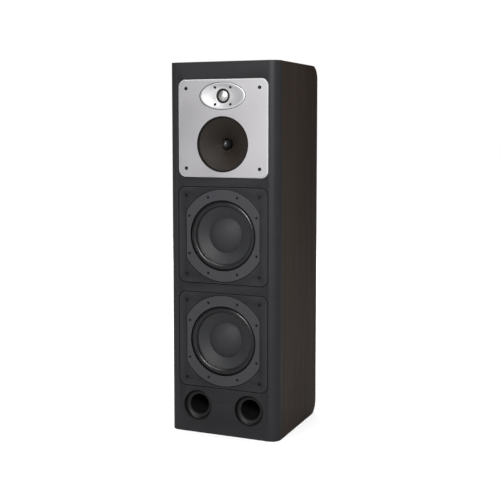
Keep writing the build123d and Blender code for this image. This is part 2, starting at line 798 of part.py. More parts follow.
with BuildPart() as midrange_cone:
    neck_radius = midrange_coil_radius
    middle_radius = (midrange_cone_radius + neck_radius) / 2
    middle_depth = (midrange_edge_depth + midrange_cone_neck_depth) / 2 + midrange_cone_bulge
    with BuildSketch(beside(0, midrange_z)):
        with BuildLine():
            rim_radius = midrange_cone_radius + midrange_rim_overlap
            ThreePointArc((midrange_cone_radius, midrange_edge_depth),
                          (middle_radius, middle_depth - 2 * midrange_cone_bulge),
                          (neck_radius, midrange_cone_neck_depth))
            Polyline((neck_radius, midrange_cone_neck_depth),
                     (neck_radius, midrange_cone_neck_depth + midrange_cone_wall))
            ThreePointArc((neck_radius, midrange_cone_neck_depth + midrange_cone_wall),
                          (middle_radius, middle_depth - 2 * midrange_cone_bulge + midrange_cone_wall),
                          (midrange_cone_radius, midrange_edge_depth + midrange_cone_wall))
            Polyline((midrange_cone_radius, midrange_edge_depth + midrange_cone_wall),
                     (rim_radius, midrange_edge_depth + midrange_cone_wall),
                     (rim_radius, midrange_edge_depth),
                     (midrange_cone_radius, midrange_edge_depth))
        make_face()
    revolve(axis=spin(0, midrange_z))
keep(midrange_cone, "midrange_cone")


def voice_coil(radius, neck_depth, gap_middle, winding_length, winding_thickness, z):
    """A former from a cone's neck to past the magnet's gap, with its winding in the gap."""
    with BuildPart() as piece:
        turn_ring(radius - former_thickness, radius, neck_depth - former_lead,
                  gap_middle + winding_length / 2 + former_lead, 0, z)
        turn_ring(radius, radius + winding_thickness, gap_middle - winding_length / 2,
                  gap_middle + winding_length / 2, 0, z)
    return piece


midrange_gap_middle = midrange_motor_depth + midrange_top_plate_thickness / 2
midrange_voice_coil = voice_coil(midrange_coil_radius, midrange_cone_neck_depth,
                                 midrange_gap_middle, midrange_winding_length,
                                 midrange_winding_thickness, midrange_z)
keep(midrange_voice_coil, "midrange_voice_coil")

midrange_spider = spider(midrange_coil_radius, midrange_spider_outer_radius,
                         midrange_spider_depth, 0, midrange_z)
keep(midrange_spider, "midrange_spider")

midrange_magnet_depth = midrange_motor_depth + midrange_top_plate_thickness
midrange_back_depth = midrange_magnet_depth + midrange_magnet_thickness
midrange_plate_radius = midrange_motor_radius - motor_plate_margin
with BuildPart() as midrange_top_plate:
    turn_ring(midrange_coil_radius + midrange_winding_thickness + gap_clearance,
              midrange_plate_radius, midrange_motor_depth, midrange_magnet_depth, 0, midrange_z)
keep(midrange_top_plate, "midrange_top_plate")

with BuildPart() as midrange_magnet:
    turn_ring(midrange_magnet_bore, midrange_motor_radius, midrange_magnet_depth,
              midrange_back_depth, 0, midrange_z)
keep(midrange_magnet, "midrange_magnet")

with BuildPart() as midrange_yoke:
    midrange_pole_radius = midrange_coil_radius - former_thickness - gap_clearance
    turn_ring(0, midrange_pole_radius, midrange_motor_depth, midrange_back_depth, 0, midrange_z)
    turn_ring(0, midrange_plate_radius, midrange_back_depth,
              midrange_back_depth + midrange_back_plate_thickness, 0, midrange_z)
    drill(facing(midrange_motor_depth), [(0, midrange_z)], phase_plug_stud_radius,
          phase_plug_stud_length)
keep(midrange_yoke, "midrange_yoke")

with BuildPart() as midrange_phase_plug:
    with BuildSketch(beside(0, midrange_z)):
        with BuildLine():
            plug_foot = midrange_motor_depth
            stud_end = plug_foot + phase_plug_stud_length
            nose_length = phase_plug_shoulder_depth - phase_plug_tip_depth
            ThreePointArc((0, phase_plug_tip_depth),
                          (phase_plug_radius * nose_radius_share,
                           phase_plug_tip_depth + nose_length * nose_depth_share),
                          (phase_plug_radius, phase_plug_shoulder_depth))
            Polyline((phase_plug_radius, phase_plug_shoulder_depth), (phase_plug_radius, plug_foot),
                     (phase_plug_stud_radius, plug_foot), (phase_plug_stud_radius, stud_end),
                     (0, stud_end), (0, phase_plug_tip_depth))
        make_face()
    revolve(axis=spin(0, midrange_z))
keep(midrange_phase_plug, "midrange_phase_plug")


# Bass units

basket_foot_radius = woofer_motor_radius + 2
woofer_base_front = woofer_motor_depth - basket_wall
woofer_coil_room = woofer_coil_radius + 2 * woofer_winding_thickness + gap_clearance
woofer_ledge_radius = woofer_mouth_radius - woofer_ledge_width
woofer_seat_inner = woofer_spider_outer_radius - spider_land + spider_seat_play
woofer_neck_depth = cone_depth(woofer_coil_radius)
woofer_gap_middle = woofer_motor_depth + woofer_top_plate_thickness / 2
woofer_magnet_depth = woofer_motor_depth + woofer_top_plate_thickness
woofer_back_depth = woofer_magnet_depth + woofer_magnet_thickness

for name, z in woofers.items():
    with BuildPart() as bass_panel:
        with BuildSketch(facing(0)):
            with Locations((0, z)):
                module_square(0)
        extrude(amount=-module_thickness)
        chamfer(bass_panel.faces().sort_by(Axis.Y)[0].outer_wire().edges(), bass_bevel)
        with BuildSketch(facing(0)):
            with Locations((0, z)):
                add(flange_outline(woofer_flange_gap))
        extrude(amount=-woofer_flange_thickness, mode=Mode.SUBTRACT)
        drill(facing(0), [(0, z)], woofer_body_radius + woofer_body_clearance, module_thickness)
        drill(facing(0), woofer_screw_places(z), woofer_screw_radius + screw_play,
              module_thickness)
        drill(facing(0), module_screw_places(z), module_screw_head_radius + head_play,
              module_screw_seat)
        drill(facing(0), module_screw_places(z), module_screw_radius + screw_play,
              module_thickness)
    keep(bass_panel, f"{name}_bass_panel")

    with BuildPart() as basket:
        with BuildSketch(facing(0)):
            with Locations((0, z)):
                add(flange_outline(0))
                Circle(woofer_mouth_radius, mode=Mode.SUBTRACT)
        extrude(amount=-woofer_flange_thickness)
        chamfer(basket.faces().sort_by(Axis.Y)[0].outer_wire().edges(), woofer_flange_bevel)
        turn([(woofer_mouth_radius, 1), (woofer_body_radius, 1),
              (woofer_body_radius, woofer_body_straight),
              (woofer_spider_outer_radius + 2 * basket_wall, woofer_spider_depth + basket_wall),
              (basket_foot_radius, woofer_motor_depth), (woofer_coil_room, woofer_motor_depth),
              (woofer_coil_room, woofer_base_front),
              (woofer_seat_inner - basket_wall, woofer_base_front),
              (woofer_seat_inner, woofer_spider_depth),
              (woofer_spider_outer_radius + spider_seat_play, woofer_spider_depth),
              (woofer_ledge_radius, woofer_body_straight),
              (woofer_ledge_radius, woofer_ledge_depth),
              (woofer_mouth_radius, woofer_ledge_depth)], 0, z)
        basket_windows(woofer_windows, woofer_window_arc, woofer_seat_inner + basket_wall,
                       woofer_body_radius + 1, woofer_body_straight + window_margin,
                       woofer_spider_depth - window_margin, z)
        drill(facing(0), woofer_screw_places(z), woofer_screw_head_radius + head_play,
              woofer_screw_seat)
        drill(facing(0), woofer_screw_places(z), woofer_screw_radius + screw_play,
              woofer_flange_thickness)
        solder_lug(lug_place(woofer_lug_radius, woofer_lug_angles[name], z),
                   woofer_lug_front, woofer_lug_back)
    keep(basket, f"{name}_basket")

    with BuildPart() as surround:
        with BuildSketch(beside(0, z)):
            with BuildLine():
                lip_front = woofer_ledge_depth - surround_thickness
                inner_roll = roll_radius - surround_thickness
                hollow_outer = roll_center_radius + inner_roll
                hollow_inner = roll_center_radius - inner_roll
                ThreePointArc((roll_outer_radius, lip_front),
                              (roll_center_radius, lip_front - roll_radius),
                              (roll_inner_radius, lip_front))
                Polyline((roll_inner_radius, lip_front), (cone_flank_radius, lip_front),
                         (cone_flank_radius, woofer_ledge_depth),
                         (hollow_inner, woofer_ledge_depth), (hollow_inner, lip_front))
                ThreePointArc((hollow_inner, lip_front),
                              (roll_center_radius, lip_front - inner_roll),
                              (hollow_outer, lip_front))
                Polyline((hollow_outer, lip_front), (hollow_outer, woofer_ledge_depth),
                         (surround_outer_radius, woofer_ledge_depth),
                         (surround_outer_radius, lip_front), (roll_outer_radius, lip_front))
            make_face()
        revolve(axis=spin(0, z))
    keep(surround, f"{name}_surround")

    with BuildPart() as cone:
        turn([(cone_rim_radius, woofer_ledge_depth), (cone_flank_radius, woofer_ledge_depth),
              (woofer_coil_radius, woofer_neck_depth),
              (woofer_coil_radius, woofer_neck_depth + cone_wall),
              (cone_flank_radius, woofer_ledge_depth + cone_wall),
              (cone_rim_radius, woofer_ledge_depth + cone_wall)], 0, z)
    keep(cone, f"{name}_cone")

    with BuildPart() as dust_cap:
        cap_seat = cone_depth(woofer_cap_radius)
        foot_radius = woofer_cap_radius - woofer_cap_thickness
        foot_depth = cone_depth(foot_radius)
        outer_mid = arc_middle(woofer_cap_radius, cap_seat, woofer_cap_height)
        inner_mid = arc_middle(foot_radius, foot_depth,
                               woofer_cap_height - woofer_cap_thickness + foot_depth - cap_seat)
        apex = cap_seat - woofer_cap_height
        with BuildSketch(beside(0, z)):
            with BuildLine():
                ThreePointArc((0, apex), outer_mid, (woofer_cap_radius, cap_seat))
                Line((woofer_cap_radius, cap_seat), (foot_radius, foot_depth))
                ThreePointArc((foot_radius, foot_depth), inner_mid, (0, apex + woofer_cap_thickness))
                Line((0, apex + woofer_cap_thickness), (0, apex))
            make_face()
        revolve(axis=spin(0, z))
    keep(dust_cap, f"{name}_dust_cap")

    woofer_voice_coil = voice_coil(woofer_coil_radius, woofer_neck_depth, woofer_gap_middle,
                                   woofer_winding_length, woofer_winding_thickness, z)
    keep(woofer_voice_coil, f"{name}_voice_coil")

    woofer_spider = spider(woofer_coil_radius, woofer_spider_outer_radius, woofer_spider_depth,
                           0, z)
    keep(woofer_spider, f"{name}_spider")

with BuildPart() as woofer_top_plates:
    for z in woofers.values():
        turn_ring(woofer_coil_radius + woofer_winding_thickness + gap_clearance,
                  woofer_motor_radius - motor_plate_margin, woofer_motor_depth,
                  woofer_magnet_depth, 0, z)
keep(woofer_top_plates, "woofer_top_plates")

with BuildPart() as woofer_magnets:
    for z in woofers.values():
        turn_ring(woofer_magnet_bore, woofer_motor_radius, woofer_magnet_depth,
                  woofer_back_depth, 0, z)
keep(woofer_magnets, "woofer_magnets")

with BuildPart() as woofer_yokes:
    woofer_pole_radius = woofer_coil_radius - former_thickness - gap_clearance
    for z in woofers.values():
        turn_ring(woofer_vent_radius, woofer_pole_radius, woofer_motor_depth, woofer_back_depth,
                  0, z)
        turn_ring(woofer_vent_radius, woofer_motor_radius - motor_plate_margin,
                  woofer_back_depth, woofer_back_depth + woofer_back_plate_thickness, 0, z)
keep(woofer_yokes, "woofer_yokes")


# Bass ports

for side, sign in sides.items():
    x = sign * port_offset_x
    with BuildPart() as port_tube:
        flare_start = port_end_depth - port_inner_flare
        with BuildSketch(beside(x, port_center_z)):
            with BuildLine():
                Polyline((port_radius, flare_start), (port_radius, port_flare),
                         (port_outer_radius, port_flare), (port_outer_radius, flare_start))
                flare_outer = port_outer_radius + port_inner_flare - port_wall / 2
                Line((port_outer_radius, flare_start), (flare_outer, port_end_depth))
                Line((flare_outer, port_end_depth),
                     (port_radius + port_inner_flare, port_end_depth))
                RadiusArc((port_radius + port_inner_flare, port_end_depth),
                          (port_radius, flare_start), -port_inner_flare)
            make_face()
        revolve(axis=spin(x, port_center_z))
    keep(port_tube, f"port_tube_{side}")


# Terminal tray

tray_middle = (0, tray_center_z)
with BuildPart() as terminal_tray:
    with BuildSketch(Plane.XZ.offset(-rear_y)):
        with Locations(tray_middle):
            RectangleRounded(tray_flange_width, tray_flange_height, tray_corner_radius)
    extrude(amount=tray_flange_thickness)
    with BuildSketch(Plane.XZ.offset(-rear_y)):
        with Locations(tray_middle):
            Rectangle(tray_recess_width + 2 * tray_wall, tray_recess_height + 2 * tray_wall)
    extrude(amount=tray_recess_depth + tray_wall)
    with BuildSketch(Plane.XZ.offset(-rear_y)):
        with Locations(tray_middle):
            Rectangle(tray_recess_width, tray_recess_height)
    extrude(amount=tray_recess_depth, mode=Mode.SUBTRACT)
    with BuildSketch(Plane.XZ.offset(-rear_y)):
        with Locations(tray_middle):
            with GridLocations(tray_flange_width - 2 * tray_screw_inset,
                               tray_flange_height - 2 * tray_screw_inset, 2, 2):
                Circle(small_screw_radius + screw_play)
            with Locations(*[(x, 0) for x in posts.values()]):
                Circle(post_radius)
    extrude(amount=tray_recess_depth + tray_wall, mode=Mode.SUBTRACT)
    with BuildSketch(Plane.XZ.offset(-rear_y)):
        with Locations(tray_middle):
            with GridLocations(tray_flange_width - 2 * tray_screw_inset,
                               tray_flange_height - 2 * tray_screw_inset, 2, 2):
                Circle(small_screw_head_radius + head_play)
    extrude(amount=tray_screw_seat, mode=Mode.SUBTRACT)
keep(terminal_tray, "terminal_tray")

tray_corner_x = tray_flange_width / 2 - tray_screw_inset
tray_corner_z = tray_flange_height / 2 - tray_screw_inset
tray_screw_places = [(x * tray_corner_x, tray_center_z + up * tray_corner_z)
                     for x, up in module_corners]
terminal_screws = screws(tray_screw_places, cabinet_depth - tray_screw_seat + small_screw_head_height,
                         small_screw_head_radius, small_screw_head_height, small_screw_radius,
                         tray_screw_length, -1)
keep(terminal_screws, "terminal_screws")


# Binding posts, with knobs that screw along them

tray_floor_depth = cabinet_depth - tray_recess_depth
washer_depth = tray_floor_depth + post_collar_height
knob_depth = washer_depth + washer_thickness + knob_standoff
knob_end_depth = knob_depth + knob_length
post_end_depth = knob_end_depth - knob_cap - knob_cap_play
tail_depth = tray_floor_depth - tray_wall - post_tail_length

with BuildPart() as binding_posts:
    for x in posts.values():
        turn([(0, tail_depth), (post_radius, tail_depth), (post_radius, tray_floor_depth),
              (post_collar_radius, tray_floor_depth), (post_collar_radius, washer_depth),
              (post_radius, washer_depth), (post_radius, post_end_depth),
              (post_socket_radius, post_end_depth),
              (post_socket_radius, post_end_depth - post_socket_depth),
              (0, post_end_depth - post_socket_depth)], x, tray_center_z)
        with BuildSketch(facing(tray_floor_depth - tray_wall)):
            with Locations((x, tray_center_z)):
                RegularPolygon(post_nut_size, 6)
        extrude(amount=post_nut_height)
keep(binding_posts, "binding_posts")

for name, x in posts.items():
    with BuildPart() as washer:
        turn_ring(post_radius + thread_play, post_collar_radius, washer_depth,
                  washer_depth + washer_thickness, x, tray_center_z)
    keep(washer, f"{name}_washer")

    with BuildPart() as knob:
        turn_ring(post_radius + thread_play, knob_radius, knob_depth,
                  knob_end_depth - knob_cap, x, tray_center_z)
        turn_ring(knob_mouth_radius, knob_radius, knob_end_depth - knob_cap, knob_end_depth,
                  x, tray_center_z)
        with BuildSketch(facing(knob_depth)):
            with Locations((x, tray_center_z)):
                with PolarLocations(knob_radius, knob_flutes):
                    Circle(knob_flute_radius)
        extrude(amount=-knob_length, mode=Mode.SUBTRACT)
        chamfer(knob.faces().sort_by(Axis.Y)[-1].inner_wires()[0].edges(), knob_bore_chamfer)
    keep(knob, f"{name}_knob")


# Crossover, on the inside of the rear panel

board_back_y = inner_rear_y - standoff_height
board_front_y = board_back_y - board_thickness

with BuildPart() as crossover_board:
    with BuildSketch(Plane.XZ.offset(-board_front_y)):
        with Locations((0, board_center_z)):
            Rectangle(board_width, board_height)
    extrude(amount=-board_thickness)
    with BuildSketch(Plane.XZ.offset(-board_back_y)):
        with Locations((0, board_center_z)):
            with GridLocations(board_width - 2 * standoff_inset,
                               board_height - 2 * standoff_inset, 2, 2):
                Circle(standoff_radius)
    extrude(amount=-standoff_height)
keep(crossover_board, "crossover_board")

inductor_x = capacitor_pitch + inductor_radius + 2
with BuildPart() as crossover_inductors:
    with BuildSketch(Plane.XZ.offset(-board_front_y)):
        with Locations((-inductor_x, board_center_z), (inductor_x, board_center_z)):
            Circle(inductor_radius)
            Circle(inductor_bore, mode=Mode.SUBTRACT)
    extrude(amount=inductor_height)
keep(crossover_inductors, "crossover_inductors")

with BuildPart() as crossover_capacitors:
    with BuildSketch(Plane.XY.offset(board_center_z - capacitor_length / 2)):
        with Locations((-capacitor_pitch / 2, board_front_y - capacitor_radius),
                       (capacitor_pitch / 2, board_front_y - capacitor_radius)):
            Circle(capacitor_radius)
    extrude(amount=capacitor_length)
keep(crossover_capacitors, "crossover_capacitors")


# Internal wiring

solder_row_top = board_center_z + board_height / 2 - 20
solder_row_bottom = board_center_z - board_height / 2 + 12
upper_lug = lug_place(woofer_lug_radius, woofer_lug_angles["upper"], upper_woofer_z)
lower_lug = lug_place(woofer_lug_radius, woofer_lug_angles["lower"], lower_woofer_z)
middle_lug = lug_place(midrange_lug_radius, midrange_lug_angle, midrange_z)
woofer_lug_y = front_y + woofer_lug_back
midrange_lug_y = front_y + midrange_lug_back
tail_y = front_y + tail_depth
shelf_hole_y = inner_rear_y - 3 * cable_hole_radius
shelf_underside_z = divider_z - inner_board_thickness / 2
tweeter_back_y = front_y + tweeter_back_depth + tweeter_back_plate_thickness
cable_pair = 4.0  # half of the distance between the two cables in the shelf's hole


def lead_from_post(x):
    """From a post's tail up to the foot of the crossover."""
    return [(x, tail_y, tray_center_z), (x, tail_y - 36, tray_center_z),
            (x, tail_y - 36, solder_row_bottom), (x, board_front_y, solder_row_bottom)]


cable_routes = [
    lead_from_post(posts["negative"]),
    lead_from_post(posts["positive"]),
    [(upper_lug[0], board_front_y, solder_row_top), (upper_lug[0], 58, solder_row_top),
     (upper_lug[0], 58, brace_z + 40), (upper_lug[0], -10, upper_lug[1]),
     (upper_lug[0], woofer_lug_y, upper_lug[1])],
    [(lower_lug[0], board_front_y, solder_row_bottom + 13),
     (lower_lug[0], 30, solder_row_bottom + 13), (lower_lug[0], -20, lower_lug[1]),
     (lower_lug[0], woofer_lug_y, lower_lug[1])],
    [(60, board_front_y, solder_row_top), (60, 80, solder_row_top), (70, 72, brace_z + 50),
     (cable_hole_offset - cable_pair, shelf_hole_y, shelf_underside_z - 60),
     (cable_hole_offset - cable_pair, shelf_hole_y, shelf_underside_z + 60),
     (75, 30, middle_lug[1]), (middle_lug[0], -40, middle_lug[1]),
     (middle_lug[0], midrange_lug_y, middle_lug[1])],
    [(35, board_front_y, solder_row_top), (35, 78, solder_row_top), (86, 55, brace_z + 40),
     (cable_hole_offset + cable_pair, shelf_hole_y, shelf_underside_z - 60),
     (cable_hole_offset + cable_pair, shelf_hole_y, shelf_underside_z + 80),
     (80, 50, tweeter_z - 60), (40, -20, tweeter_z), (12, -70, tweeter_z),
     (12, tweeter_back_y, tweeter_z)],
]


def bend_radii(route):
    """The largest arc that the runs beside each corner of a route leave room for."""
    radii = []
    for before, corner, after in zip(route, route[1:], route[2:]):
        arriving = Vector(corner) - Vector(before)
        leaving = Vector(after) - Vector(corner)
        half_turn = radians(arriving.get_angle(leaving)) / 2
        radii.append(bend_share * min(arriving.length, leaving.length) * cos(half_turn) / sin(half_turn))
    return radii


with BuildPart() as internal_wiring:
    for route in cable_routes:
        radii = bend_radii(route)
        print("cable bends", [round(radius) for radius in radii])
        with BuildLine() as path:
            FilletPolyline(*route, radius=radii)
        along = Vector(route[1]) - Vector(route[0])
        with BuildSketch(Plane(origin=route[0], z_dir=along)) as section:
            Circle(cable_radius)
        sweep(section.sketch, path=path.wire())
keep(internal_wiring, "internal_wiring")


# Wadding on the side walls of each chamber

wadding_stretches = [
    (shell_thickness, brace_z - inner_board_thickness / 2),
    (brace_z + inner_board_thickness / 2, divider_z - inner_board_thickness / 2),
    (divider_z + inner_board_thickness / 2, cabinet_height - shell_thickness),
]
with BuildPart() as wadding:
    wadding_x = inner_width / 2 - wadding_thickness / 2
    wadding_length = inner_rear_y - baffle_back_y - 2 * wadding_margin
    for low_z, high_z in wadding_stretches:
        with BuildSketch(Plane.XY.offset(low_z + wadding_margin)):
            with Locations((-wadding_x, (baffle_back_y + inner_rear_y) / 2),
                           (wadding_x, (baffle_back_y + inner_rear_y) / 2)):
                Rectangle(wadding_thickness, wadding_length)
        extrude(amount=high_z - low_z - 2 * wadding_margin)
keep(wadding, "wadding")
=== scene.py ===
import math

import bmesh
import bpy
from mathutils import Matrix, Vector, noise as turbulence
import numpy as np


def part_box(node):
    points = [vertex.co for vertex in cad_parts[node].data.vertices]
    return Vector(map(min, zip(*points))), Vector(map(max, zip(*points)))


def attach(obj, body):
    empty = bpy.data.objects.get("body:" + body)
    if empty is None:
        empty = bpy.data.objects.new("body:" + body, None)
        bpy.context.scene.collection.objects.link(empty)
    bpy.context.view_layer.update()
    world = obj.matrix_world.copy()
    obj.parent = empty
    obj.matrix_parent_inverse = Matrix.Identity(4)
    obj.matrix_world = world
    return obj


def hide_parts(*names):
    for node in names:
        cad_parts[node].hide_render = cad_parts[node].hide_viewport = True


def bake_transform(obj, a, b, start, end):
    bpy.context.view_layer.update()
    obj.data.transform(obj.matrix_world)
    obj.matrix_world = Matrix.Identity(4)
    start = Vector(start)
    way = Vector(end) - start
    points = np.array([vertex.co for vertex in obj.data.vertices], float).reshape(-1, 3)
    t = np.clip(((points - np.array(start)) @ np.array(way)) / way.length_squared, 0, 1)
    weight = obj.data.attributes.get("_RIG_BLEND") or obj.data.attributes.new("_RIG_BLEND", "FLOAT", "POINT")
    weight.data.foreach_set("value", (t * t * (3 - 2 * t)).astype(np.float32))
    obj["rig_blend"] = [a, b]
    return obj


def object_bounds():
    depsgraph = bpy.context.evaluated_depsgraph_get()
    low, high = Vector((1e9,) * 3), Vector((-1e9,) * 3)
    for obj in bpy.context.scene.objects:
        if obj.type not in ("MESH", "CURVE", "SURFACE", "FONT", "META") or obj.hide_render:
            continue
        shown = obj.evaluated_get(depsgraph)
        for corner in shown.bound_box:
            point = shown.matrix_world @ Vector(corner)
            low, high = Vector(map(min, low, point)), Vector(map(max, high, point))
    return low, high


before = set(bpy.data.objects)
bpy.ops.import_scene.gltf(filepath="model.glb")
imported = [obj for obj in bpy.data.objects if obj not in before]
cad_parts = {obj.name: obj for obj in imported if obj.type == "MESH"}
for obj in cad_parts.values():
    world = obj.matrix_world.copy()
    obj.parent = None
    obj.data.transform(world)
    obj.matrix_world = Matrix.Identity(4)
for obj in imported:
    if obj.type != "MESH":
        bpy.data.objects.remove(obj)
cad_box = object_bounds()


# ------------------------------------------------------------
# Veneered cabinet panels: both sides, the top and the back.
# Board wrapped in dark brown open-grain veneer under satin lacquer. The grain stands upright on
# the sides and the back, and runs from front to back over the top.

def shader_group(name, inputs, outputs):
    """A new node group with named sockets, and its input and output nodes."""
    group = bpy.data.node_groups.new(name, "ShaderNodeTree")
    for label, kind, value in inputs:
        socket = group.interface.new_socket(label, in_out="INPUT", socket_type=kind)
        socket.default_value = value
    for label, kind in outputs:
        group.interface.new_socket(label, in_out="OUTPUT", socket_type=kind)
    entry = group.nodes.new("NodeGroupInput")
    leave = group.nodes.new("NodeGroupOutput")
    return group, entry, leave


def noise(tree, vector, scale, detail=3.0, roughness=0.5):
    """A noise node that reads a vector, and its value."""
    node = tree.nodes.new("ShaderNodeTexNoise")
    node.inputs["Scale"].default_value = scale
    node.inputs["Detail"].default_value = detail
    node.inputs["Roughness"].default_value = roughness
    tree.links.new(vector, node.inputs["Vector"])
    return node.outputs["Fac"]


def stretched(tree, vector, scale):
    """The vector scaled by three numbers, so that a pattern runs out along one axis."""
    node = tree.nodes.new("ShaderNodeMapping")
    node.inputs["Scale"].default_value = scale
    tree.links.new(vector, node.inputs["Vector"])
    return node.outputs["Vector"]


def sum_of(tree, kind, first, second, clamp=False):
    """A Math node on two values or sockets."""
    node = tree.nodes.new("ShaderNodeMath")
    node.operation = kind
    node.use_clamp = clamp
    for socket, value in zip(node.inputs, (first, second)):
        if isinstance(value, (int, float)):
            socket.default_value = value
        else:
            tree.links.new(value, socket)
    return node.outputs[0]


def between(tree, value, low, high, first, second):
    """A value taken from first to second as it goes from low to high, smoothly and no further."""
    node = tree.nodes.new("ShaderNodeMapRange")
    node.interpolation_type = "SMOOTHSTEP"
    for socket, number in zip(list(node.inputs)[1:5], (low, high, first, second)):
        socket.default_value = number
    tree.links.new(value, node.inputs["Value"])
    return node.outputs["Result"]


def blended(tree, share, first, second):
    """A colour mixed from two colours or colour sockets by a share."""
    node = tree.nodes.new("ShaderNodeMix")
    node.data_type = "RGBA"
    tree.links.new(share, node.inputs[0])
    for socket, value in zip((node.inputs[6], node.inputs[7]), (first, second)):
        if isinstance(value, tuple):
            socket.default_value = (*value, 1.0)
        else:
            tree.links.new(value, socket)
    return node.outputs[2]


def tinted(tree, shade, mask, amount, colour):
    """A shade taken towards a colour by an amount of a mask."""
    return blended(tree, sum_of(tree, "MULTIPLY", mask, amount), shade, colour)


def scaled(colour, factor, lift=0.0):
    """A colour made lighter or darker, and lifted, but never past white."""
    return tuple(min(1.0, c * factor + lift) for c in colour)


def grain_group():
    """Open-grained wood along Z: a figure of light and dark bands, and fine dark pores."""
    tree, entry, leave = shader_group(
        "wood_grain",
        [("Vector", "NodeSocketVector", (0, 0, 0)), ("Band Scale", "NodeSocketFloat", 1.0)],
        [("Figure", "NodeSocketFloat"), ("Pores", "NodeSocketFloat"),
         ("Fibre", "NodeSocketFloat")])
    where = entry.outputs["Vector"]
    wander = noise(tree, stretched(tree, where, (6, 6, 1.2)), 1.0, 2.0)
    bands = tree.nodes.new("ShaderNodeTexNoise")
    bands.inputs["Detail"].default_value = 5.0
    bands.inputs["Roughness"].default_value = 0.62
    bands.inputs["Distortion"].default_value = 0.35
    tree.links.new(entry.outputs["Band Scale"], bands.inputs["Scale"])
    tree.links.new(stretched(tree, where, (95, 95, 1.6)), bands.inputs["Vector"])
    wide = sum_of(tree, "MULTIPLY", wander, 0.45)
    figure = sum_of(tree, "ADD", sum_of(tree, "MULTIPLY", bands.outputs["Fac"], 0.75), wide)
    figure = between(tree, figure, 0.38, 0.82, 0.0, 1.0)
    pores = noise(tree, stretched(tree, where, (900, 900, 22)), 1.0, 2.0, 0.6)
    pores = between(tree, pores, 0.56, 0.70, 0.0, 1.0)
    fibre = noise(tree, stretched(tree, where, (420, 420, 5)), 1.0, 3.0)
    tree.links.new(figure, leave.inputs["Figure"])
    tree.links.new(pores, leave.inputs["Pores"])
    tree.links.new(fibre, leave.inputs["Fibre"])
    return tree


def wear_group():
    """Handling marks on a satin finish: soft clouds, fine dust specks and a rubbed edge."""
    tree, entry, leave = shader_group(
        "surface_life",
        [("Vector", "NodeSocketVector", (0, 0, 0))],
        [("Clouds", "NodeSocketFloat"), ("Specks", "NodeSocketFloat"),
         ("Edges", "NodeSocketFloat")])
    where = entry.outputs["Vector"]
    clouds = between(tree, noise(tree, where, 7.0, 4.0, 0.6), 0.3, 0.7, 0.0, 1.0)
    specks = between(tree, noise(tree, where, 900.0, 1.0), 0.68, 0.78, 0.0, 1.0)
    shape = tree.nodes.new("ShaderNodeNewGeometry")
    edges = between(tree, shape.outputs["Pointiness"], 0.52, 0.60, 0.0, 1.0)
    tree.links.new(clouds, leave.inputs["Clouds"])
    tree.links.new(specks, leave.inputs["Specks"])
    tree.links.new(edges, leave.inputs["Edges"])
    return tree


wood_grain = grain_group()
surface_life = wear_group()


def new_material(name, metallic=0.0, specular=0.5, coat=0.0, coat_roughness=0.2):
    """An empty Principled material with its node tree, its shader and object coordinates."""
    material = bpy.data.materials.new(name)
    material.use_nodes = True
    tree = material.node_tree
    shader = tree.nodes["Principled BSDF"]
    shader.inputs["Metallic"].default_value = metallic
    shader.inputs["Specular IOR Level"].default_value = specular
    shader.inputs["Coat Weight"].default_value = coat
    shader.inputs["Coat Roughness"].default_value = coat_roughness
    where = tree.nodes.new("ShaderNodeTexCoord").outputs["Object"]
    return material, tree, shader, where


def place_group(tree, group, vector, **values):
    """A node group in a material, fed with coordinates and its own values."""
    node = tree.nodes.new("ShaderNodeGroup")
    node.node_tree = group
    tree.links.new(vector, node.inputs["Vector"])
    for label, value in values.items():
        node.inputs[label.replace("_", " ")].default_value = value
    return node


def raised(tree, shader, height, strength, distance):
    """A bump on the shader's normal, as high as a distance in metres."""
    bump = tree.nodes.new("ShaderNodeBump")
    bump.inputs["Strength"].default_value = strength
    bump.inputs["Distance"].default_value = distance
    tree.links.new(height, bump.inputs["Height"])
    tree.links.new(bump.outputs["Normal"], shader.inputs["Normal"])


def skinned(tree, shader, colour, rough):
    """Plug a colour and a roughness into a shader."""
    tree.links.new(colour, shader.inputs["Base Color"])
    tree.links.new(rough, shader.inputs["Roughness"])


def veneer(name, turn):
    """Dark brown veneer whose grain is turned from upright by three angles."""
    material, tree, shader, where = new_material(name, specular=0.12, coat=0.02,
                                                 coat_roughness=0.5)
    facing = tree.nodes.new("ShaderNodeMapping")
    facing.inputs["Rotation"].default_value = turn
    tree.links.new(where, facing.inputs["Vector"])
    grain = place_group(tree, wood_grain, facing.outputs["Vector"])
    life = place_group(tree, surface_life, where)
    brown = blended(tree, grain.outputs["Figure"], (0.024, 0.0140, 0.0100),
                    (0.052, 0.034, 0.0250))
    brown = tinted(tree, brown, grain.outputs["Pores"], 0.55, (0.012, 0.008, 0.006))
    brown = tinted(tree, brown, life.outputs["Edges"], 0.35, (0.085, 0.066, 0.052))
    skinned(tree, shader, brown, between(tree, grain.outputs["Fibre"], 0.2, 0.8, 0.40, 0.56))
    relief = sum_of(tree, "SUBTRACT", sum_of(tree, "MULTIPLY", grain.outputs["Fibre"], 0.4),
                    grain.outputs["Pores"])
    raised(tree, shader, relief, 0.35, 0.00012)
    return material


def dress(node, material):
    """Give a CAD node's object one material all over."""
    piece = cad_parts[node]
    piece.data.materials.clear()
    piece.data.materials.append(material)


upright_veneer = veneer("veneer_upright", (0, 0, 0))
top_veneer = veneer("veneer_top", (math.radians(90), 0, 0))
for node in ("side_panel_left", "side_panel_right", "rear_panel"):
    dress(node, upright_veneer)
dress("top_panel", top_veneer)


# ------------------------------------------------------------
# Front baffle: thick board with round upright edges, sprayed satin black. The port flares and
# the three square rebates are routed before it is sprayed.

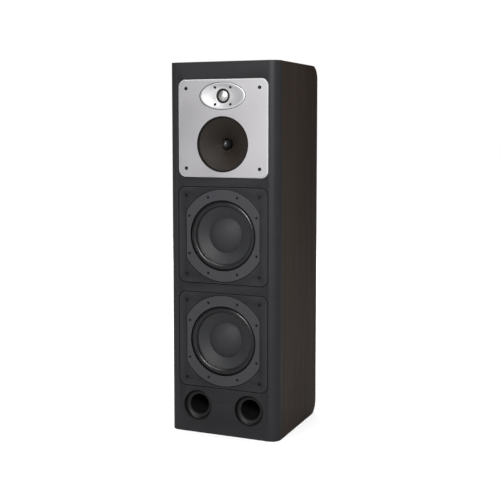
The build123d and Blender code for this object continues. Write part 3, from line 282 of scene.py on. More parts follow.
def cut_group():
    """Masks by how square a surface stands to the front: bevels for a painted highlight, walls for painted
    shade, and both as grooves for painted shade.
    Beyond the reach of the plates, where the baffle's own edges are round, there are none."""
    tree, entry, leave = shader_group(
        "painted_light_masks",
        [("Vector", "NodeSocketVector", (0, 0, 0)), ("Facing", "NodeSocketVector", (0, 0, 0)),
         ("Reach", "NodeSocketFloat", 0.1335)],
        [("Bevel", "NodeSocketFloat"), ("Painted Wall Shade", "NodeSocketFloat"),
         ("Painted Groove Shade", "NodeSocketFloat")])
    parts = tree.nodes.new("ShaderNodeSeparateXYZ")
    tree.links.new(entry.outputs["Facing"], parts.inputs["Vector"])
    place = tree.nodes.new("ShaderNodeSeparateXYZ")
    tree.links.new(entry.outputs["Vector"], place.inputs["Vector"])
    square = sum_of(tree, "ABSOLUTE", parts.outputs["Y"], 0.0)
    across = sum_of(tree, "ABSOLUTE", place.outputs["X"], 0.0)
    inside = sum_of(tree, "LESS_THAN", across, entry.outputs["Reach"])
    wall = between(tree, square, 0.20, 0.35, 1.0, 0.0)
    bevel_highlight = between(tree, square, 0.80, 0.92, 1.0, 0.0)
    groove_shade = between(tree, square, 0.72, 0.94, 1.0, 0.0)
    tree.links.new(sum_of(tree, "SUBTRACT", bevel_highlight, wall, True), leave.inputs["Bevel"])
    tree.links.new(sum_of(tree, "MULTIPLY", wall, inside), leave.inputs["Painted Wall Shade"])
    tree.links.new(sum_of(tree, "MULTIPLY", groove_shade, inside), leave.inputs["Painted Groove Shade"])
    return tree


painted_light_masks = cut_group()


def place_cuts(tree, where):
    """The masks of a material for a painted highlight on bevels and painted shade on walls and in grooves.
    """
    facing = tree.nodes.new("ShaderNodeTexCoord").outputs["Normal"]
    node = place_group(tree, painted_light_masks, where)
    tree.links.new(facing, node.inputs["Facing"])
    return node


def sprayed(name, colour, rough, peel):
    """Sprayed paint: an orange-peel skin, soft clouding and a little dust in the finish, with painted shade
    near black in its grooves.
    """
    material, tree, shader, where = new_material(name, specular=0.3)
    life = place_group(tree, surface_life, where)
    dusty = scaled(colour, 1.5, 0.004)
    skin = tinted(tree, colour, life.outputs["Clouds"], 0.35, dusty)
    skin = tinted(tree, skin, life.outputs["Edges"], 0.5, scaled(colour, 2.2, 0.01))
    skin = tinted(tree, skin, life.outputs["Specks"], 0.10, (0.22, 0.21, 0.20))
    # Painted shade: faces in walls and grooves near the middle are taken near black.
    cuts = place_cuts(tree, where)
    skin = tinted(tree, skin, cuts.outputs["Painted Groove Shade"], 0.9, (0.0015, 0.0015, 0.0015))
    skinned(tree, shader, skin,
            between(tree, life.outputs["Clouds"], 0.0, 1.0, rough, rough + 0.07))
    skin_height = noise(tree, where, 520.0, 2.0, 0.55)
    raised(tree, shader, skin_height, peel, 0.00008)
    return material


# The rebate walls and the gaps round the plates are painted near black as shade.
baffle_lacquer = sprayed("satin_black_lacquer", (0.0135, 0.0133, 0.0150), 0.42, 0.25)
dress("front_baffle", baffle_lacquer)


# ------------------------------------------------------------
# Underside and inner boards: the same board, brushed with flat black, with its fibres showing.

board_black = sprayed("flat_black_board", (0.014, 0.0135, 0.013), 0.7, 0.9)
for node in ("bottom_panel", "divider_shelf", "window_brace"):
    dress(node, board_black)


# ------------------------------------------------------------
# Spike inserts: turned brass, pressed flush into the underside, with rings from the tool.

def turned_metal(name, colour, rough, axis, ring_scale):
    """Lathe-turned metal with fine rings along an axis."""
    material, tree, shader, where = new_material(name, metallic=1.0)
    life = place_group(tree, surface_life, where)
    rings = noise(tree, stretched(tree, where, tuple(ring_scale if a == axis else 6.0
                                                     for a in "xyz")), 1.0, 2.0)
    shade = tinted(tree, colour, rings, 0.5, scaled(colour, 0.72))
    shade = tinted(tree, shade, life.outputs["Clouds"], 0.3, scaled(colour, 0.6))
    skinned(tree, shader, shade, between(tree, rings, 0.3, 0.7, rough, rough + 0.12))
    raised(tree, shader, rings, 0.2, 0.00004)
    return material


turned_brass = turned_metal("turned_brass", (0.62, 0.42, 0.17), 0.26, "z", 2600.0)
dress("spike_inserts", turned_brass)


# ------------------------------------------------------------
# Head plate: a 10 mm aluminium plate, machined, bead-blasted and anodised silver, with its bevelled rim
# painted near white as a highlight. Four black screws hold it in the top rebate.

def anodised(name, colour, rough, blast, painted_bright_rim=False):
    """Bead-blasted and anodised aluminium: pale clouds and a fine pitted skin. With a painted bright rim,
    its bevels are painted near white and less metallic as a highlight, and its walls are painted near black
    as shade. Without one, the faces in its grooves are painted near black as shade."""
    material, tree, shader, where = new_material(name, metallic=1.0)
    life = place_group(tree, surface_life, where)
    pits = noise(tree, where, 1500.0, 2.0, 0.6)
    shade = tinted(tree, colour, pits, 0.35, scaled(colour, 0.80))
    shade = tinted(tree, shade, life.outputs["Clouds"], 0.25, scaled(colour, 0.93))
    cuts = place_cuts(tree, where)
    # Painted highlight on the bevels and painted shade on the walls, or else painted shade in the grooves.
    if painted_bright_rim:
        shade = blended(tree, cuts.outputs["Bevel"], shade, (0.93, 0.93, 0.94))
        shade = blended(tree, cuts.outputs["Painted Wall Shade"], shade, (0.01, 0.01, 0.01))
        tree.links.new(between(tree, cuts.outputs["Bevel"], 0.0, 1.0, 1.0, 0.1),
                       shader.inputs["Metallic"])
    else:
        edge = between(tree, cuts.outputs["Painted Groove Shade"], 0.45, 0.85, 0.0, 1.0)
        shade = blended(tree, edge, shade, (0.01, 0.01, 0.01))
    skinned(tree, shader, shade,
            between(tree, life.outputs["Clouds"], 0.0, 1.0, rough, rough + 0.05))
    raised(tree, shader, pits, blast, 0.00005)
    return material


silver_anodised = anodised("silver_anodised", (0.80, 0.785, 0.81), 0.38, 0.35, True)
dress("head_plate", silver_anodised)


# ------------------------------------------------------------
# Tweeter faceplate: an oval aluminium casting, dished towards the dome, in a rebate of the head
# plate. Its skin is the plate's, polished a little more in the dish.

FRONT = cad_box[0][1]


def finished_mesh(name, bm, material, sharp_angle=35.0):
    """Turn a bmesh into a shown object, smooth but for the edges sharper than an angle."""
    bmesh.ops.remove_doubles(bm, verts=bm.verts, dist=1e-6)
    bmesh.ops.recalc_face_normals(bm, faces=bm.faces)
    for face in bm.faces:
        face.smooth = True
    for edge in bm.edges:
        if len(edge.link_faces) == 2:
            edge.smooth = edge.calc_face_angle(0.0) < math.radians(sharp_angle)
    mesh = bpy.data.meshes.new(name)
    bm.to_mesh(mesh)
    bm.free()
    piece = bpy.data.objects.new(name, mesh)
    bpy.context.scene.collection.objects.link(piece)
    mesh.materials.append(material)
    return piece


def lathe(name, outline, x, z, material, steps=192, sharp_angle=35.0):
    """Turn a closed (radius, depth) outline in metres about a front-to-back axis at x, z."""
    bm = bmesh.new()
    rings = []
    for step in range(steps):
        angle = 2 * math.pi * step / steps
        rings.append([bm.verts.new((x + radius * math.cos(angle), FRONT + depth,
                                    z + radius * math.sin(angle)))
                      for radius, depth in outline])
    count = len(outline)
    for step in range(steps):
        here, there = rings[step], rings[(step + 1) % steps]
        for at in range(count):
            to = (at + 1) % count
            starts_on_axis, ends_on_axis = outline[at][0] < 1e-7, outline[to][0] < 1e-7
            if starts_on_axis and ends_on_axis:
                continue
            corners = [here[at], here[to], there[to], there[at]]
            if starts_on_axis:
                corners = [here[at], here[to], there[to]]
            elif ends_on_axis:
                corners = [here[at], here[to], there[at]]
            bm.faces.new(corners)
    return finished_mesh(name, bm, material, sharp_angle)


def arc(radius, depth, size, start, end, count):
    """Points of a round stretch of an outline, by angle from outwards towards the back."""
    angles = [math.radians(start + (end - start) * i / count) for i in range(count + 1)]
    return [(radius + size * math.cos(a), depth + size * math.sin(a)) for a in angles]


def centre_of(node):
    """The x and z of a turned node's axis."""
    low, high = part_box(node)
    return (low[0] + high[0]) / 2, (low[2] + high[2]) / 2


plate_low, plate_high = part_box("tweeter_faceplate")
oval_play = 0.0004
oval_width = (plate_high[0] - plate_low[0]) / 2 - oval_play
oval_height = (plate_high[2] - plate_low[2]) / 2 - oval_play
oval_thickness = plate_high[1] - plate_low[1]
throat_radius = 0.0193
throat_lip = 0.0009
dish_rim = 0.0026
dish_depth = 0.0041
rim_steps = [(0.0, 0.0010), (0.0006, 0.0004), (0.0012, 0.0003)]  # inset and depth down the edge
rim_land = (0.0005, 0.0002)
throat_round = 0.0003
tweeter_x, tweeter_z = centre_of("tweeter_faceplate")


def oval_radius(angle, inset):
    """How far an oval's edge, drawn in by an inset, is from its middle at an angle."""
    a, b = oval_width - inset, oval_height - inset
    return a * b / math.hypot(b * math.cos(angle), a * math.sin(angle))


def dished_faceplate(material, steps=256, rows=22):
    """The oval plate: a rolled rim, a dish that deepens to the throat, and a flat back."""
    bm = bmesh.new()
    columns = []
    for step in range(steps):
        angle = 2 * math.pi * step / steps
        outer, rim = oval_radius(angle, 0.0), oval_radius(angle, dish_rim)
        line = [(outer, oval_thickness)]
        line += [(outer - inset, depth) for inset, depth in rim_steps]
        line.append((rim + rim_land[0], rim_land[1]))
        for row in range(rows + 1):
            share = row / rows
            radius = rim + (throat_radius + throat_lip - rim) * share
            fall = math.sin(share * math.pi / 2) ** 1.25
            line.append((radius, dish_depth * fall))
        line += [(throat_radius + throat_round, dish_depth + 0.0002),
                 (throat_radius, dish_depth + 0.0006), (throat_radius, oval_thickness)]
        columns.append([bm.verts.new((tweeter_x + r * math.cos(angle), FRONT + d,
                                      tweeter_z + r * math.sin(angle))) for r, d in line])
    for step in range(steps):
        here, there = columns[step], columns[(step + 1) % steps]
        for at in range(len(here)):
            to = (at + 1) % len(here)
            bm.faces.new([here[at], here[to], there[to], there[at]])
    return finished_mesh("tweeter_oval", bm, material)


def bored(piece, cutters):
    """Cut away the space of some throwaway solids, and apply the cuts."""
    for cutter in cutters:
        cut = piece.modifiers.new("cut", "BOOLEAN")
        cut.operation = "DIFFERENCE"
        cut.solver = "EXACT"
        cut.object = cutter
    bake = bpy.context.evaluated_depsgraph_get()
    mesh = bpy.data.meshes.new_from_object(piece.evaluated_get(bake))
    piece.modifiers.clear()
    piece.data = mesh
    for cutter in cutters:
        bpy.data.objects.remove(cutter)


def bore(x, z, radius, front, back, material, steps=48):
    """A throwaway round solid between two depths."""
    outline = [(0.0, front), (radius, front), (radius, back), (0.0, back)]
    return lathe("cutter", outline, x, z, material, steps)


# The faces in its grooves, such as the oval's outer wall, are painted near black as shade.
dish_silver = anodised("dish_silver", (0.82, 0.81, 0.825), 0.50, 0.18)
tweeter_oval = dished_faceplate(dish_silver)
screw_reach = 0.0223
screw_head_radius, screw_seat = 0.0038, 0.0039
screw_hole_radius, screw_hole_end = 0.0017, 0.01
clear_of_face = -0.002
tweeter_screws = [(tweeter_x + sx * screw_reach, tweeter_z + sz * screw_reach)
                  for sx in (-1, 1) for sz in (-1, 1)]
bored(tweeter_oval, [bore(x, z, radius, clear_of_face, end, dish_silver)
                     for radius, end in ((screw_head_radius, screw_seat),
                                         (screw_hole_radius, screw_hole_end))
                     for x, z in tweeter_screws])
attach(tweeter_oval, "cabinet")
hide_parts("tweeter_faceplate")


# ------------------------------------------------------------
# Tweeter surround: a small half roll of coated cloth between the dome and the faceplate's
# throat. It is clamped by its flat seal and moves with the dome at its inner edge.

def soft_rubber(name, colour, rough, sheen=0.0):
    """Moulded rubber or coated cloth: faint mould texture, bloom and dust in the hollows."""
    material, tree, shader, where = new_material(name, specular=0.5)
    shader.inputs["Sheen Weight"].default_value = sheen
    shader.inputs["Sheen Roughness"].default_value = 0.4
    life = place_group(tree, surface_life, where)
    bloom = tinted(tree, colour, life.outputs["Clouds"], 0.5, scaled(colour, 1.7, 0.003))
    bloom = tinted(tree, bloom, life.outputs["Specks"], 0.18, (0.20, 0.19, 0.18))
    skinned(tree, shader, bloom,
            between(tree, life.outputs["Clouds"], 0.0, 1.0, rough, rough + 0.12))
    raised(tree, shader, noise(tree, where, 1400.0, 2.0), 0.15, 0.00005)
    return material


def crosses_joint(piece, still, moving, x, z, outer, inner):
    """Hang a round piece between two bodies: its outer edge stays and its inner edge moves."""
    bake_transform(piece, still, moving, start=(x + outer, FRONT, z), end=(x + inner, FRONT, z))
    weights = piece.data.attributes["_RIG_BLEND"]
    for vertex, weight in zip(piece.data.vertices, weights.data):
        radius = math.hypot(vertex.co.x - x, vertex.co.z - z)
        share = min(1.0, max(0.0, (outer - radius) / (outer - inner)))
        weight.value = share * share * (3 - 2 * share)


dome_low, dome_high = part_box("tweeter_dome")
dome_radius = (dome_high[0] - dome_low[0]) / 2
dome_front = dome_low[1] - FRONT
dome_back = dome_high[1] - FRONT
dome_flange = 0.0008
dome_base = dome_back - dome_flange
dome_rise = dome_base - dome_front

roll = 0.00165
roll_play = 0.0001
cloth = 0.0004
seal_radius = (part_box("tweeter_surround")[1][0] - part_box("tweeter_surround")[0][0]) / 2
coated_cloth = soft_rubber("coated_cloth", (0.006, 0.006, 0.0065), 0.6)
roll_outline = arc(dome_radius + roll_play + roll, dome_base, roll, 180, 360, 20)
roll_outline += [(throat_radius, dome_base - roll_play), (seal_radius, dome_base - roll_play),
                 (seal_radius, dome_base + cloth), (dome_radius + 2 * roll, dome_base + cloth)]
roll_outline += arc(dome_radius + roll_play + roll, dome_base + roll_play, roll - cloth,
                    360, 180, 16)
tweeter_roll = lathe("tweeter_roll", roll_outline, tweeter_x, tweeter_z, coated_cloth, 128)
crosses_joint(tweeter_roll, "cabinet", "tweeter_dome_assembly", tweeter_x, tweeter_z,
              dome_radius + 2 * roll, dome_radius + 0.0002)
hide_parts("tweeter_surround")


# ------------------------------------------------------------
# Tweeter dome: bright metal foil pressed over a former, with the faint rings of the pressing.

def dome_outline(radius, base, rise, wall, count):
    """Outer and inner arc of a thin dome, from its apex to its rim and back."""
    def skin(r, h):
        sphere = (r * r + h * h) / (2 * h)
        spread = math.asin(r / sphere)
        return [(sphere * math.sin(spread * i / count),
                 base - h + sphere * (1 - math.cos(spread * i / count)))
                for i in range(count + 1)]
    return skin(radius, rise) + skin(radius - wall, rise - wall)[::-1]


def pressed_foil(name, colour, rough):
    """Pressed metal foil, bright, with fine concentric rings round its own axis."""
    material, tree, shader, where = new_material(name, metallic=1.0)
    life = place_group(tree, surface_life, where)
    from_axis = stretched(tree, where, (1, 0, 1))
    centred = tree.nodes.new("ShaderNodeVectorMath")
    centred.operation = "DISTANCE"
    centred.inputs[1].default_value = (tweeter_x, 0, tweeter_z)
    tree.links.new(from_axis, centred.inputs[0])
    wave = sum_of(tree, "SINE", sum_of(tree, "MULTIPLY", centred.outputs["Value"], 9000.0), 0.0)
    shade = tinted(tree, colour, life.outputs["Clouds"], 0.5, scaled(colour, 0.88))
    skinned(tree, shader, shade,
            between(tree, noise(tree, where, 260.0), 0.3, 0.7, rough, rough + 0.08))
    raised(tree, shader, wave, 0.05, 0.00002)
    return material


bright_foil = pressed_foil("bright_foil", (0.93, 0.92, 0.89), 0.36)
dome_shape = dome_outline(dome_radius, dome_base, dome_rise, 0.0003, 40)
tweeter_cap = lathe("tweeter_cap", dome_shape, tweeter_x, tweeter_z, bright_foil, 128)
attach(tweeter_cap, "tweeter_dome_assembly")
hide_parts("tweeter_dome")


# ------------------------------------------------------------
# Midrange cone: woven fibre set in resin, flared, glued to the foam edge at its rim and to the
# voice coil at its neck. The weave lies flat across the cone, so it runs in straight rows.

def weave_group():
    """A plain two-by-two weave across X and Z: strand height, and which way a strand runs."""
    tree, entry, leave = shader_group(
        "flat_weave",
        [("Vector", "NodeSocketVector", (0, 0, 0)), ("Strands", "NodeSocketFloat", 900.0)],
        [("Height", "NodeSocketFloat"), ("Warp", "NodeSocketFloat"),
         ("Gaps", "NodeSocketFloat")])
    parts = tree.nodes.new("ShaderNodeSeparateXYZ")
    tree.links.new(entry.outputs["Vector"], parts.inputs["Vector"])
    strands = entry.outputs["Strands"]
    u = sum_of(tree, "MULTIPLY", parts.outputs["X"], strands)
    v = sum_of(tree, "MULTIPLY", parts.outputs["Z"], strands)
    hump_u, hump_v = (
        sum_of(tree, "ABSOLUTE",
               sum_of(tree, "SINE", sum_of(tree, "MULTIPLY", way, math.pi), 0.0), 0.0)
        for way in (u, v))
    cell = sum_of(tree, "ADD", sum_of(tree, "FLOOR", u, 0.0), sum_of(tree, "FLOOR", v, 0.0))
    over = sum_of(tree, "FLOORED_MODULO", cell, 2.0)
    warp = sum_of(tree, "MULTIPLY", over, hump_u)
    weft = sum_of(tree, "MULTIPLY", sum_of(tree, "SUBTRACT", 1.0, over), hump_v)
    height = sum_of(tree, "ADD", warp, weft)
    gaps = between(tree, sum_of(tree, "MULTIPLY", hump_u, hump_v), 0.0, 0.22, 1.0, 0.0)
    tree.links.new(height, leave.inputs["Height"])
    tree.links.new(over, leave.inputs["Warp"])
    tree.links.new(gaps, leave.inputs["Gaps"])
    return tree


flat_weave = weave_group()


def woven_fibre(name, warp_colour, weft_colour, strands):
    """Woven cone cloth in clear resin, slightly uneven in colour."""
    material, tree, shader, where = new_material(name, specular=0.22)
    cloth = place_group(tree, flat_weave, where, Strands=strands)
    life = place_group(tree, surface_life, where)
    colour = blended(tree, cloth.outputs["Warp"], warp_colour, weft_colour)
    colour = tinted(tree, colour, life.outputs["Clouds"], 0.4, scaled(weft_colour, 1.5))
    colour = tinted(tree, colour, cloth.outputs["Gaps"], 0.7, (0.008, 0.007, 0.006))
    skinned(tree, shader, colour, between(tree, cloth.outputs["Height"], 0.0, 1.0, 0.55, 0.38))
    raised(tree, shader, cloth.outputs["Height"], 0.8, 0.00025)
    return material


mid_x, mid_z = centre_of("midrange_cone")
cone_low, cone_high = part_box("midrange_cone")
mid_front = cone_low[1] - FRONT
mid_back = cone_high[1] - FRONT
mid_rim = (cone_high[0] - cone_low[0]) / 2
mid_lip = 0.0014
mid_visible = mid_rim - mid_lip
mid_neck = 0.0155
mid_wall = 0.0009


def flare(radius, rim, neck, rim_depth, neck_depth, swell):
    """Depth of a flared cone's face: a straight flank with a swell towards the front."""
    share = (rim - radius) / (rim - neck)
    return rim_depth + (neck_depth - rim_depth) * share - swell * math.sin(math.pi * share)


def flared_cone(rim, neck, rim_depth, neck_depth, swell, wall, lip, count=36):
    """The closed outline of a flared cone with a flat glue lip outside its flank."""
    radii = [rim + (neck - rim) * i / count for i in range(count + 1)]
    face = [(r, flare(r, rim, neck, rim_depth, neck_depth, swell)) for r in radii]
    back = [(r, d + wall) for r, d in face[::-1]]
    return [(rim + lip, rim_depth)] + face + back + [(rim + lip, rim_depth + wall)]


fibre_weave = woven_fibre("woven_fibre", (0.034, 0.025, 0.019), (0.020, 0.016, 0.013), 620.0)
mid_cone = lathe("midrange_woven_cone",
                 flared_cone(mid_visible, mid_neck, mid_front, mid_back - mid_wall, 0.0034,
                             mid_wall, mid_lip), mid_x, mid_z, fibre_weave)
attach(mid_cone, "midrange_cone_assembly")
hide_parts("midrange_cone")


# ------------------------------------------------------------
# Midrange edge: a narrow band of black foam between the cone's rim and the basket's ring.

def foam(name, colour):
    """Open-celled foam or felted fibre: a soft pitted skin."""
    material, tree, shader, where = new_material(name, specular=0.25)
    cells = noise(tree, where, 1800.0, 3.0, 0.7)
    life = place_group(tree, surface_life, where)
    shade = blended(tree, cells, scaled(colour, 0.6), scaled(colour, 1.5))
    shade = tinted(tree, shade, life.outputs["Clouds"], 0.4, scaled(colour, 1.8))
    skinned(tree, shader, shade, between(tree, cells, 0.3, 0.7, 0.75, 0.95))
    raised(tree, shader, cells, 0.8, 0.0003)
    return material


black_foam = foam("black_foam", (0.0045, 0.0043, 0.0042))
edge_low, edge_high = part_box("midrange_edge")
edge_outer = (edge_high[0] - edge_low[0]) / 2
edge_front, edge_back = edge_low[1] - FRONT, edge_high[1] - FRONT
edge_half = (edge_outer - mid_visible) / 2
edge_thick = edge_back - edge_front
edge_outline = [(mid_visible + edge_half + edge_half * math.cos(a),
                 edge_back - 0.00005 - (edge_thick - 0.0001) * math.sin(a) ** 0.8)
                for a in [math.pi * i / 24 for i in range(25)]]
mid_edge = lathe("midrange_foam_edge", edge_outline, mid_x, mid_z, black_foam, 192, 70.0)
crosses_joint(mid_edge, "cabinet", "midrange_cone_assembly", mid_x, mid_z,
              edge_outer, mid_visible)
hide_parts("midrange_edge")


# ------------------------------------------------------------
# Phase plug: a turned bullet, polished black, screwed to the midrange's pole. It doesn't move
# with the cone.

def polished_black(name, colour, rough):
    """Gloss black: a clear skin over a dark body, with hairline swirls."""
    material, tree, shader, where = new_material(name, specular=0.8, coat=1.0,
                                                 coat_roughness=0.30)
    life = place_group(tree, surface_life, where)
    shade = tinted(tree, colour, life.outputs["Clouds"], 0.5, scaled(colour, 1.6, 0.002))
    shade = tinted(tree, shade, life.outputs["Specks"], 0.2, (0.25, 0.25, 0.25))
    skinned(tree, shader, shade,
            between(tree, noise(tree, where, 300.0), 0.3, 0.7, rough, rough + 0.08))
    return material


gloss_black = polished_black("gloss_black", (0.006, 0.006, 0.0065), 0.30)
plug_low, plug_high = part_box("midrange_phase_plug")
plug_radius = 0.0130
plug_tip = plug_low[1] - FRONT
plug_end = plug_high[1] - FRONT
plug_shoulder = 0.034
plug_foot = plug_end - 0.010
plug_stem = 0.003
nose = [(plug_radius * math.sin(a), plug_tip + (plug_shoulder - plug_tip) * (1 - math.cos(a)))
        for a in [math.pi / 2 * i / 28 for i in range(29)]]
plug_outline = nose + [(plug_radius, plug_foot), (plug_stem, plug_foot), (plug_stem, plug_end),
                       (0.0, plug_end)]
phase_plug = lathe("phase_plug", plug_outline, mid_x, mid_z, gloss_black, 96, 50.0)
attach(phase_plug, "cabinet")
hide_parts("midrange_phase_plug")


# ------------------------------------------------------------
# Bass panels: square aluminium plates, flush in their rebates, sprayed satin black to match the
# baffle. Each carries one bass unit.

# The gaps round the panels and frames are painted near black as shade.
panel_paint = sprayed("panel_paint", (0.0145, 0.0145, 0.0170), 0.40, 0.35)
for node in ("upper_bass_panel", "lower_bass_panel"):
    dress(node, panel_paint)


# ------------------------------------------------------------
# Baskets: cast aluminium frames in dark grey textured paint. The bass units' flanges have a flat
# on each side and sit flush in their panels; the midrange's shows only as a thin ring.

def textured_paint(name, colour, rough, grit):
    """Powder paint with a pebbled skin over a casting, with painted shade near black in its grooves."""
    material, tree, shader, where = new_material(name, specular=0.5)
    pebbles = noise(tree, where, 1100.0, 3.0, 0.65)
    life = place_group(tree, surface_life, where)
    shade = blended(tree, pebbles, scaled(colour, 0.75),
                    scaled(colour, 1.25))
    shade = tinted(tree, shade, life.outputs["Clouds"], 0.3, scaled(colour, 1.35))
    # Painted shade: faces in grooves near the middle are taken near black.
    cuts = place_cuts(tree, where)
    shade = tinted(tree, shade, cuts.outputs["Painted Groove Shade"], 0.9, (0.0015, 0.0015, 0.0015))
    skinned(tree, shader, shade, between(tree, pebbles, 0.3, 0.7, rough, rough + 0.1))
    raised(tree, shader, pebbles, grit, 0.00012)
    return material


# The gaps between the flanges and their panels are painted near black as shade.
cast_paint = textured_paint("cast_paint", (0.043, 0.043, 0.049), 0.38, 0.6)
for node in ("upper_basket", "lower_basket"):
    dress(node, cast_paint)
dress("midrange_basket", textured_paint("mid_frame_paint", (0.005, 0.005, 0.005), 0.55, 0.4))


# ------------------------------------------------------------
# Bass surrounds: half rolls of moulded rubber, glued to the basket's ledge outside and to the
# cone's rim inside. The roll rolls and unrolls as the cone travels.

moulded_rubber = soft_rubber("moulded_rubber", (0.009, 0.009, 0.0105), 0.24, 0.1)
pulp_lip = 0.0022
rubber_wall = 0.0012
lip_edge = 0.0003
foot_run, foot_rise, foot_step = 0.0006, 0.0004, 0.0001


def half_roll(name, node):
    """A bass surround: two flat lips and a full roll, with small fillets at its feet."""
    low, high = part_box(node)
    x, z = centre_of(node)
    outer = (high[0] - low[0]) / 2
    back, front = high[1] - FRONT, low[1] - FRONT
    lip_front = back - rubber_wall
    foot_front = lip_front - foot_rise
    size = lip_front - front
    middle = outer - pulp_lip - size
    still, moved = middle + size, middle - size
    inner_lip = moved - rubber_wall
    outline = [(outer, back), (outer, lip_front + 0.0002), (outer - lip_edge, lip_front)]
    outline += [(still + foot_run, lip_front), (still + foot_step, foot_front)]
    outline += arc(middle, lip_front, size, -7, -173, 40)
    outline += [(moved - foot_step, foot_front), (moved - foot_run, lip_front)]
    outline += [(inner_lip + lip_edge, lip_front), (inner_lip, lip_front + lip_edge),
                (inner_lip, back), (moved + rubber_wall, back)]
    outline += arc(middle, lip_front, size - rubber_wall, -180, 0, 32)
    outline += [(still - rubber_wall, back)]
    return lathe(name, outline, x, z, moulded_rubber, 224, 60.0), x, z, still, moved


for place in ("upper", "lower"):
    rubber_roll, x, z, still, moved = half_roll(f"{place}_rubber_roll", f"{place}_surround")
    crosses_joint(rubber_roll, "cabinet", f"{place}_cone_assembly", x, z, still, moved)
    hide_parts(f"{place}_surround")


# ------------------------------------------------------------
# Bass cones and dust caps: felted pulp with a dark grey coating. The cap is glued to the cone in
# a fine bead, and covers the voice coil.

def felted_pulp(name, colour, rough):
    """Coated paper pulp: a fibrous skin with a soft mottle."""
    material, tree, shader, where = new_material(name, specular=0.42)
    fibres = noise(tree, where, 420.0, 4.0, 0.7)
    life = place_group(tree, surface_life, where)
    shade = blended(tree, fibres, scaled(colour, 0.72),
                    scaled(colour, 1.28))
    shade = tinted(tree, shade, life.outputs["Clouds"], 0.4, scaled(colour, 1.4))
    shade = tinted(tree, shade, life.outputs["Specks"], 0.15, (0.18, 0.175, 0.17))
    skinned(tree, shader, shade, between(tree, fibres, 0.3, 0.7, rough, rough + 0.12))
    raised(tree, shader, fibres, 0.35, 0.00012)
    return material


pulp_wall = 0.0013
cap_wall = 0.001
cap_glue = 0.0011
coil_neck = 0.0196
for place in ("upper", "lower"):
    cone_x, cone_z = centre_of(f"{place}_cone")
    low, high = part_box(f"{place}_cone")
    rim_front, neck_back = low[1] - FRONT, high[1] - FRONT
    rim = (high[0] - low[0]) / 2
    flank = rim - rubber_wall - pulp_lip
    neck_front = neck_back - pulp_wall
    cone_pulp = felted_pulp(f"{place}_cone_pulp", (0.027, 0.0275, 0.0295), 0.50)
    bass_cone = lathe(f"{place}_pulp_cone",
                      flared_cone(flank, coil_neck, rim_front, neck_front, 0.0, pulp_wall,
                                  rim - flank), cone_x, cone_z, cone_pulp, 224)
    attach(bass_cone, f"{place}_cone_assembly")
    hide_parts(f"{place}_cone")

    cap_low, cap_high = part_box(f"{place}_dust_cap")
    cap_radius = (cap_high[0] - cap_low[0]) / 2
    seat = flare(cap_radius, flank, coil_neck, rim_front, neck_front, 0.0)
    rise = seat - (cap_low[1] - FRONT)
    cap_pulp = felted_pulp(f"{place}_cap_pulp", (0.030, 0.030, 0.0335), 0.58)
    dust_cap = lathe(f"{place}_pulp_cap", dome_outline(cap_radius, seat, rise, cap_wall, 48),
                     cone_x, cone_z, cap_pulp, 224)
    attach(dust_cap, f"{place}_cone_assembly")
    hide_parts(f"{place}_dust_cap")

    bead = [(cap_radius + cap_glue * math.cos(a),
             seat + 0.0002 + cap_glue * 0.6 * math.sin(a))
            for a in [2 * math.pi * i / 12 for i in range(12)]]
    glue_bead = lathe(f"{place}_cap_bead", bead, cone_x, cone_z, moulded_rubber, 224, 80.0)
    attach(glue_bead, f"{place}_cone_assembly")


# ------------------------------------------------------------
# Spiders and voice coils: corrugated varnished cloth rings that centre the coils, and copper wire
# wound on thin formers. They sit behind the cones.

varnished_cloth = woven_fibre("varnished_cloth", (0.36, 0.20, 0.06), (0.30, 0.165, 0.05), 800.0)
wound_copper = turned_metal("wound_copper", (0.60, 0.27, 0.13), 0.34, "y", 2400.0)
for place in ("upper", "lower", "midrange"):
    dress(f"{place}_spider", varnished_cloth)
    dress(f"{place}_voice_coil", wound_copper)
dress("tweeter_voice_coil", wound_copper)
dress("midrange_voice_coil",
      turned_metal("enamelled_winding", (0.006, 0.005, 0.005), 0.5, "y", 2400.0))


# ------------------------------------------------------------
# Motors: ferrite rings between pressed steel plates and yokes, zinc plated. The ferrite is ground
# flat and keeps its dull grey sintered skin.

zinc_plate = anodised("zinc_plate", (0.50, 0.50, 0.47), 0.34, 0.15)
ferrite = textured_paint("sintered_ferrite", (0.035, 0.034, 0.034), 0.62, 0.4)
for part in ("tweeter_top_plate", "tweeter_yoke", "midrange_top_plate", "midrange_yoke",
             "woofer_top_plates", "woofer_yokes"):
    dress(part, zinc_plate)
for part in ("tweeter_magnet", "midrange_magnet", "woofer_magnets"):
    dress(part, ferrite)


# ------------------------------------------------------------
# Screws: black oxide steel, cylinder heads with hexagon sockets, sunk into their counterbores.

black_oxide = turned_metal("black_oxide", (0.045, 0.044, 0.046), 0.32, "y", 1500.0)
for node in ("module_screws", "woofer_screws", "head_unit_screws", "terminal_screws"):
    dress(node, black_oxide)


# ------------------------------------------------------------
# Port tubes: moulded black plastic, flared at the inner end and pushed into the baffle's flares.

def moulded(name, colour, rough, grain, specular=0.45):
    """Moulded plastic: a fine spark-eroded grain, flow marks and a trace of dust."""
    material, tree, shader, where = new_material(name, specular=specular)
    stipple = noise(tree, where, 1300.0, 2.0, 0.6)
    life = place_group(tree, surface_life, where)
    shade = tinted(tree, colour, life.outputs["Clouds"], 0.4, scaled(colour, 1.4, 0.002))
    shade = tinted(tree, shade, life.outputs["Edges"], 0.5, scaled(colour, 1.8, 0.01))
    shade = tinted(tree, shade, life.outputs["Specks"], 0.12, (0.24, 0.23, 0.22))
    skinned(tree, shader, shade, between(tree, stipple, 0.3, 0.7, rough, rough + 0.1))
    raised(tree, shader, stipple, grain, 0.00010)
    return material


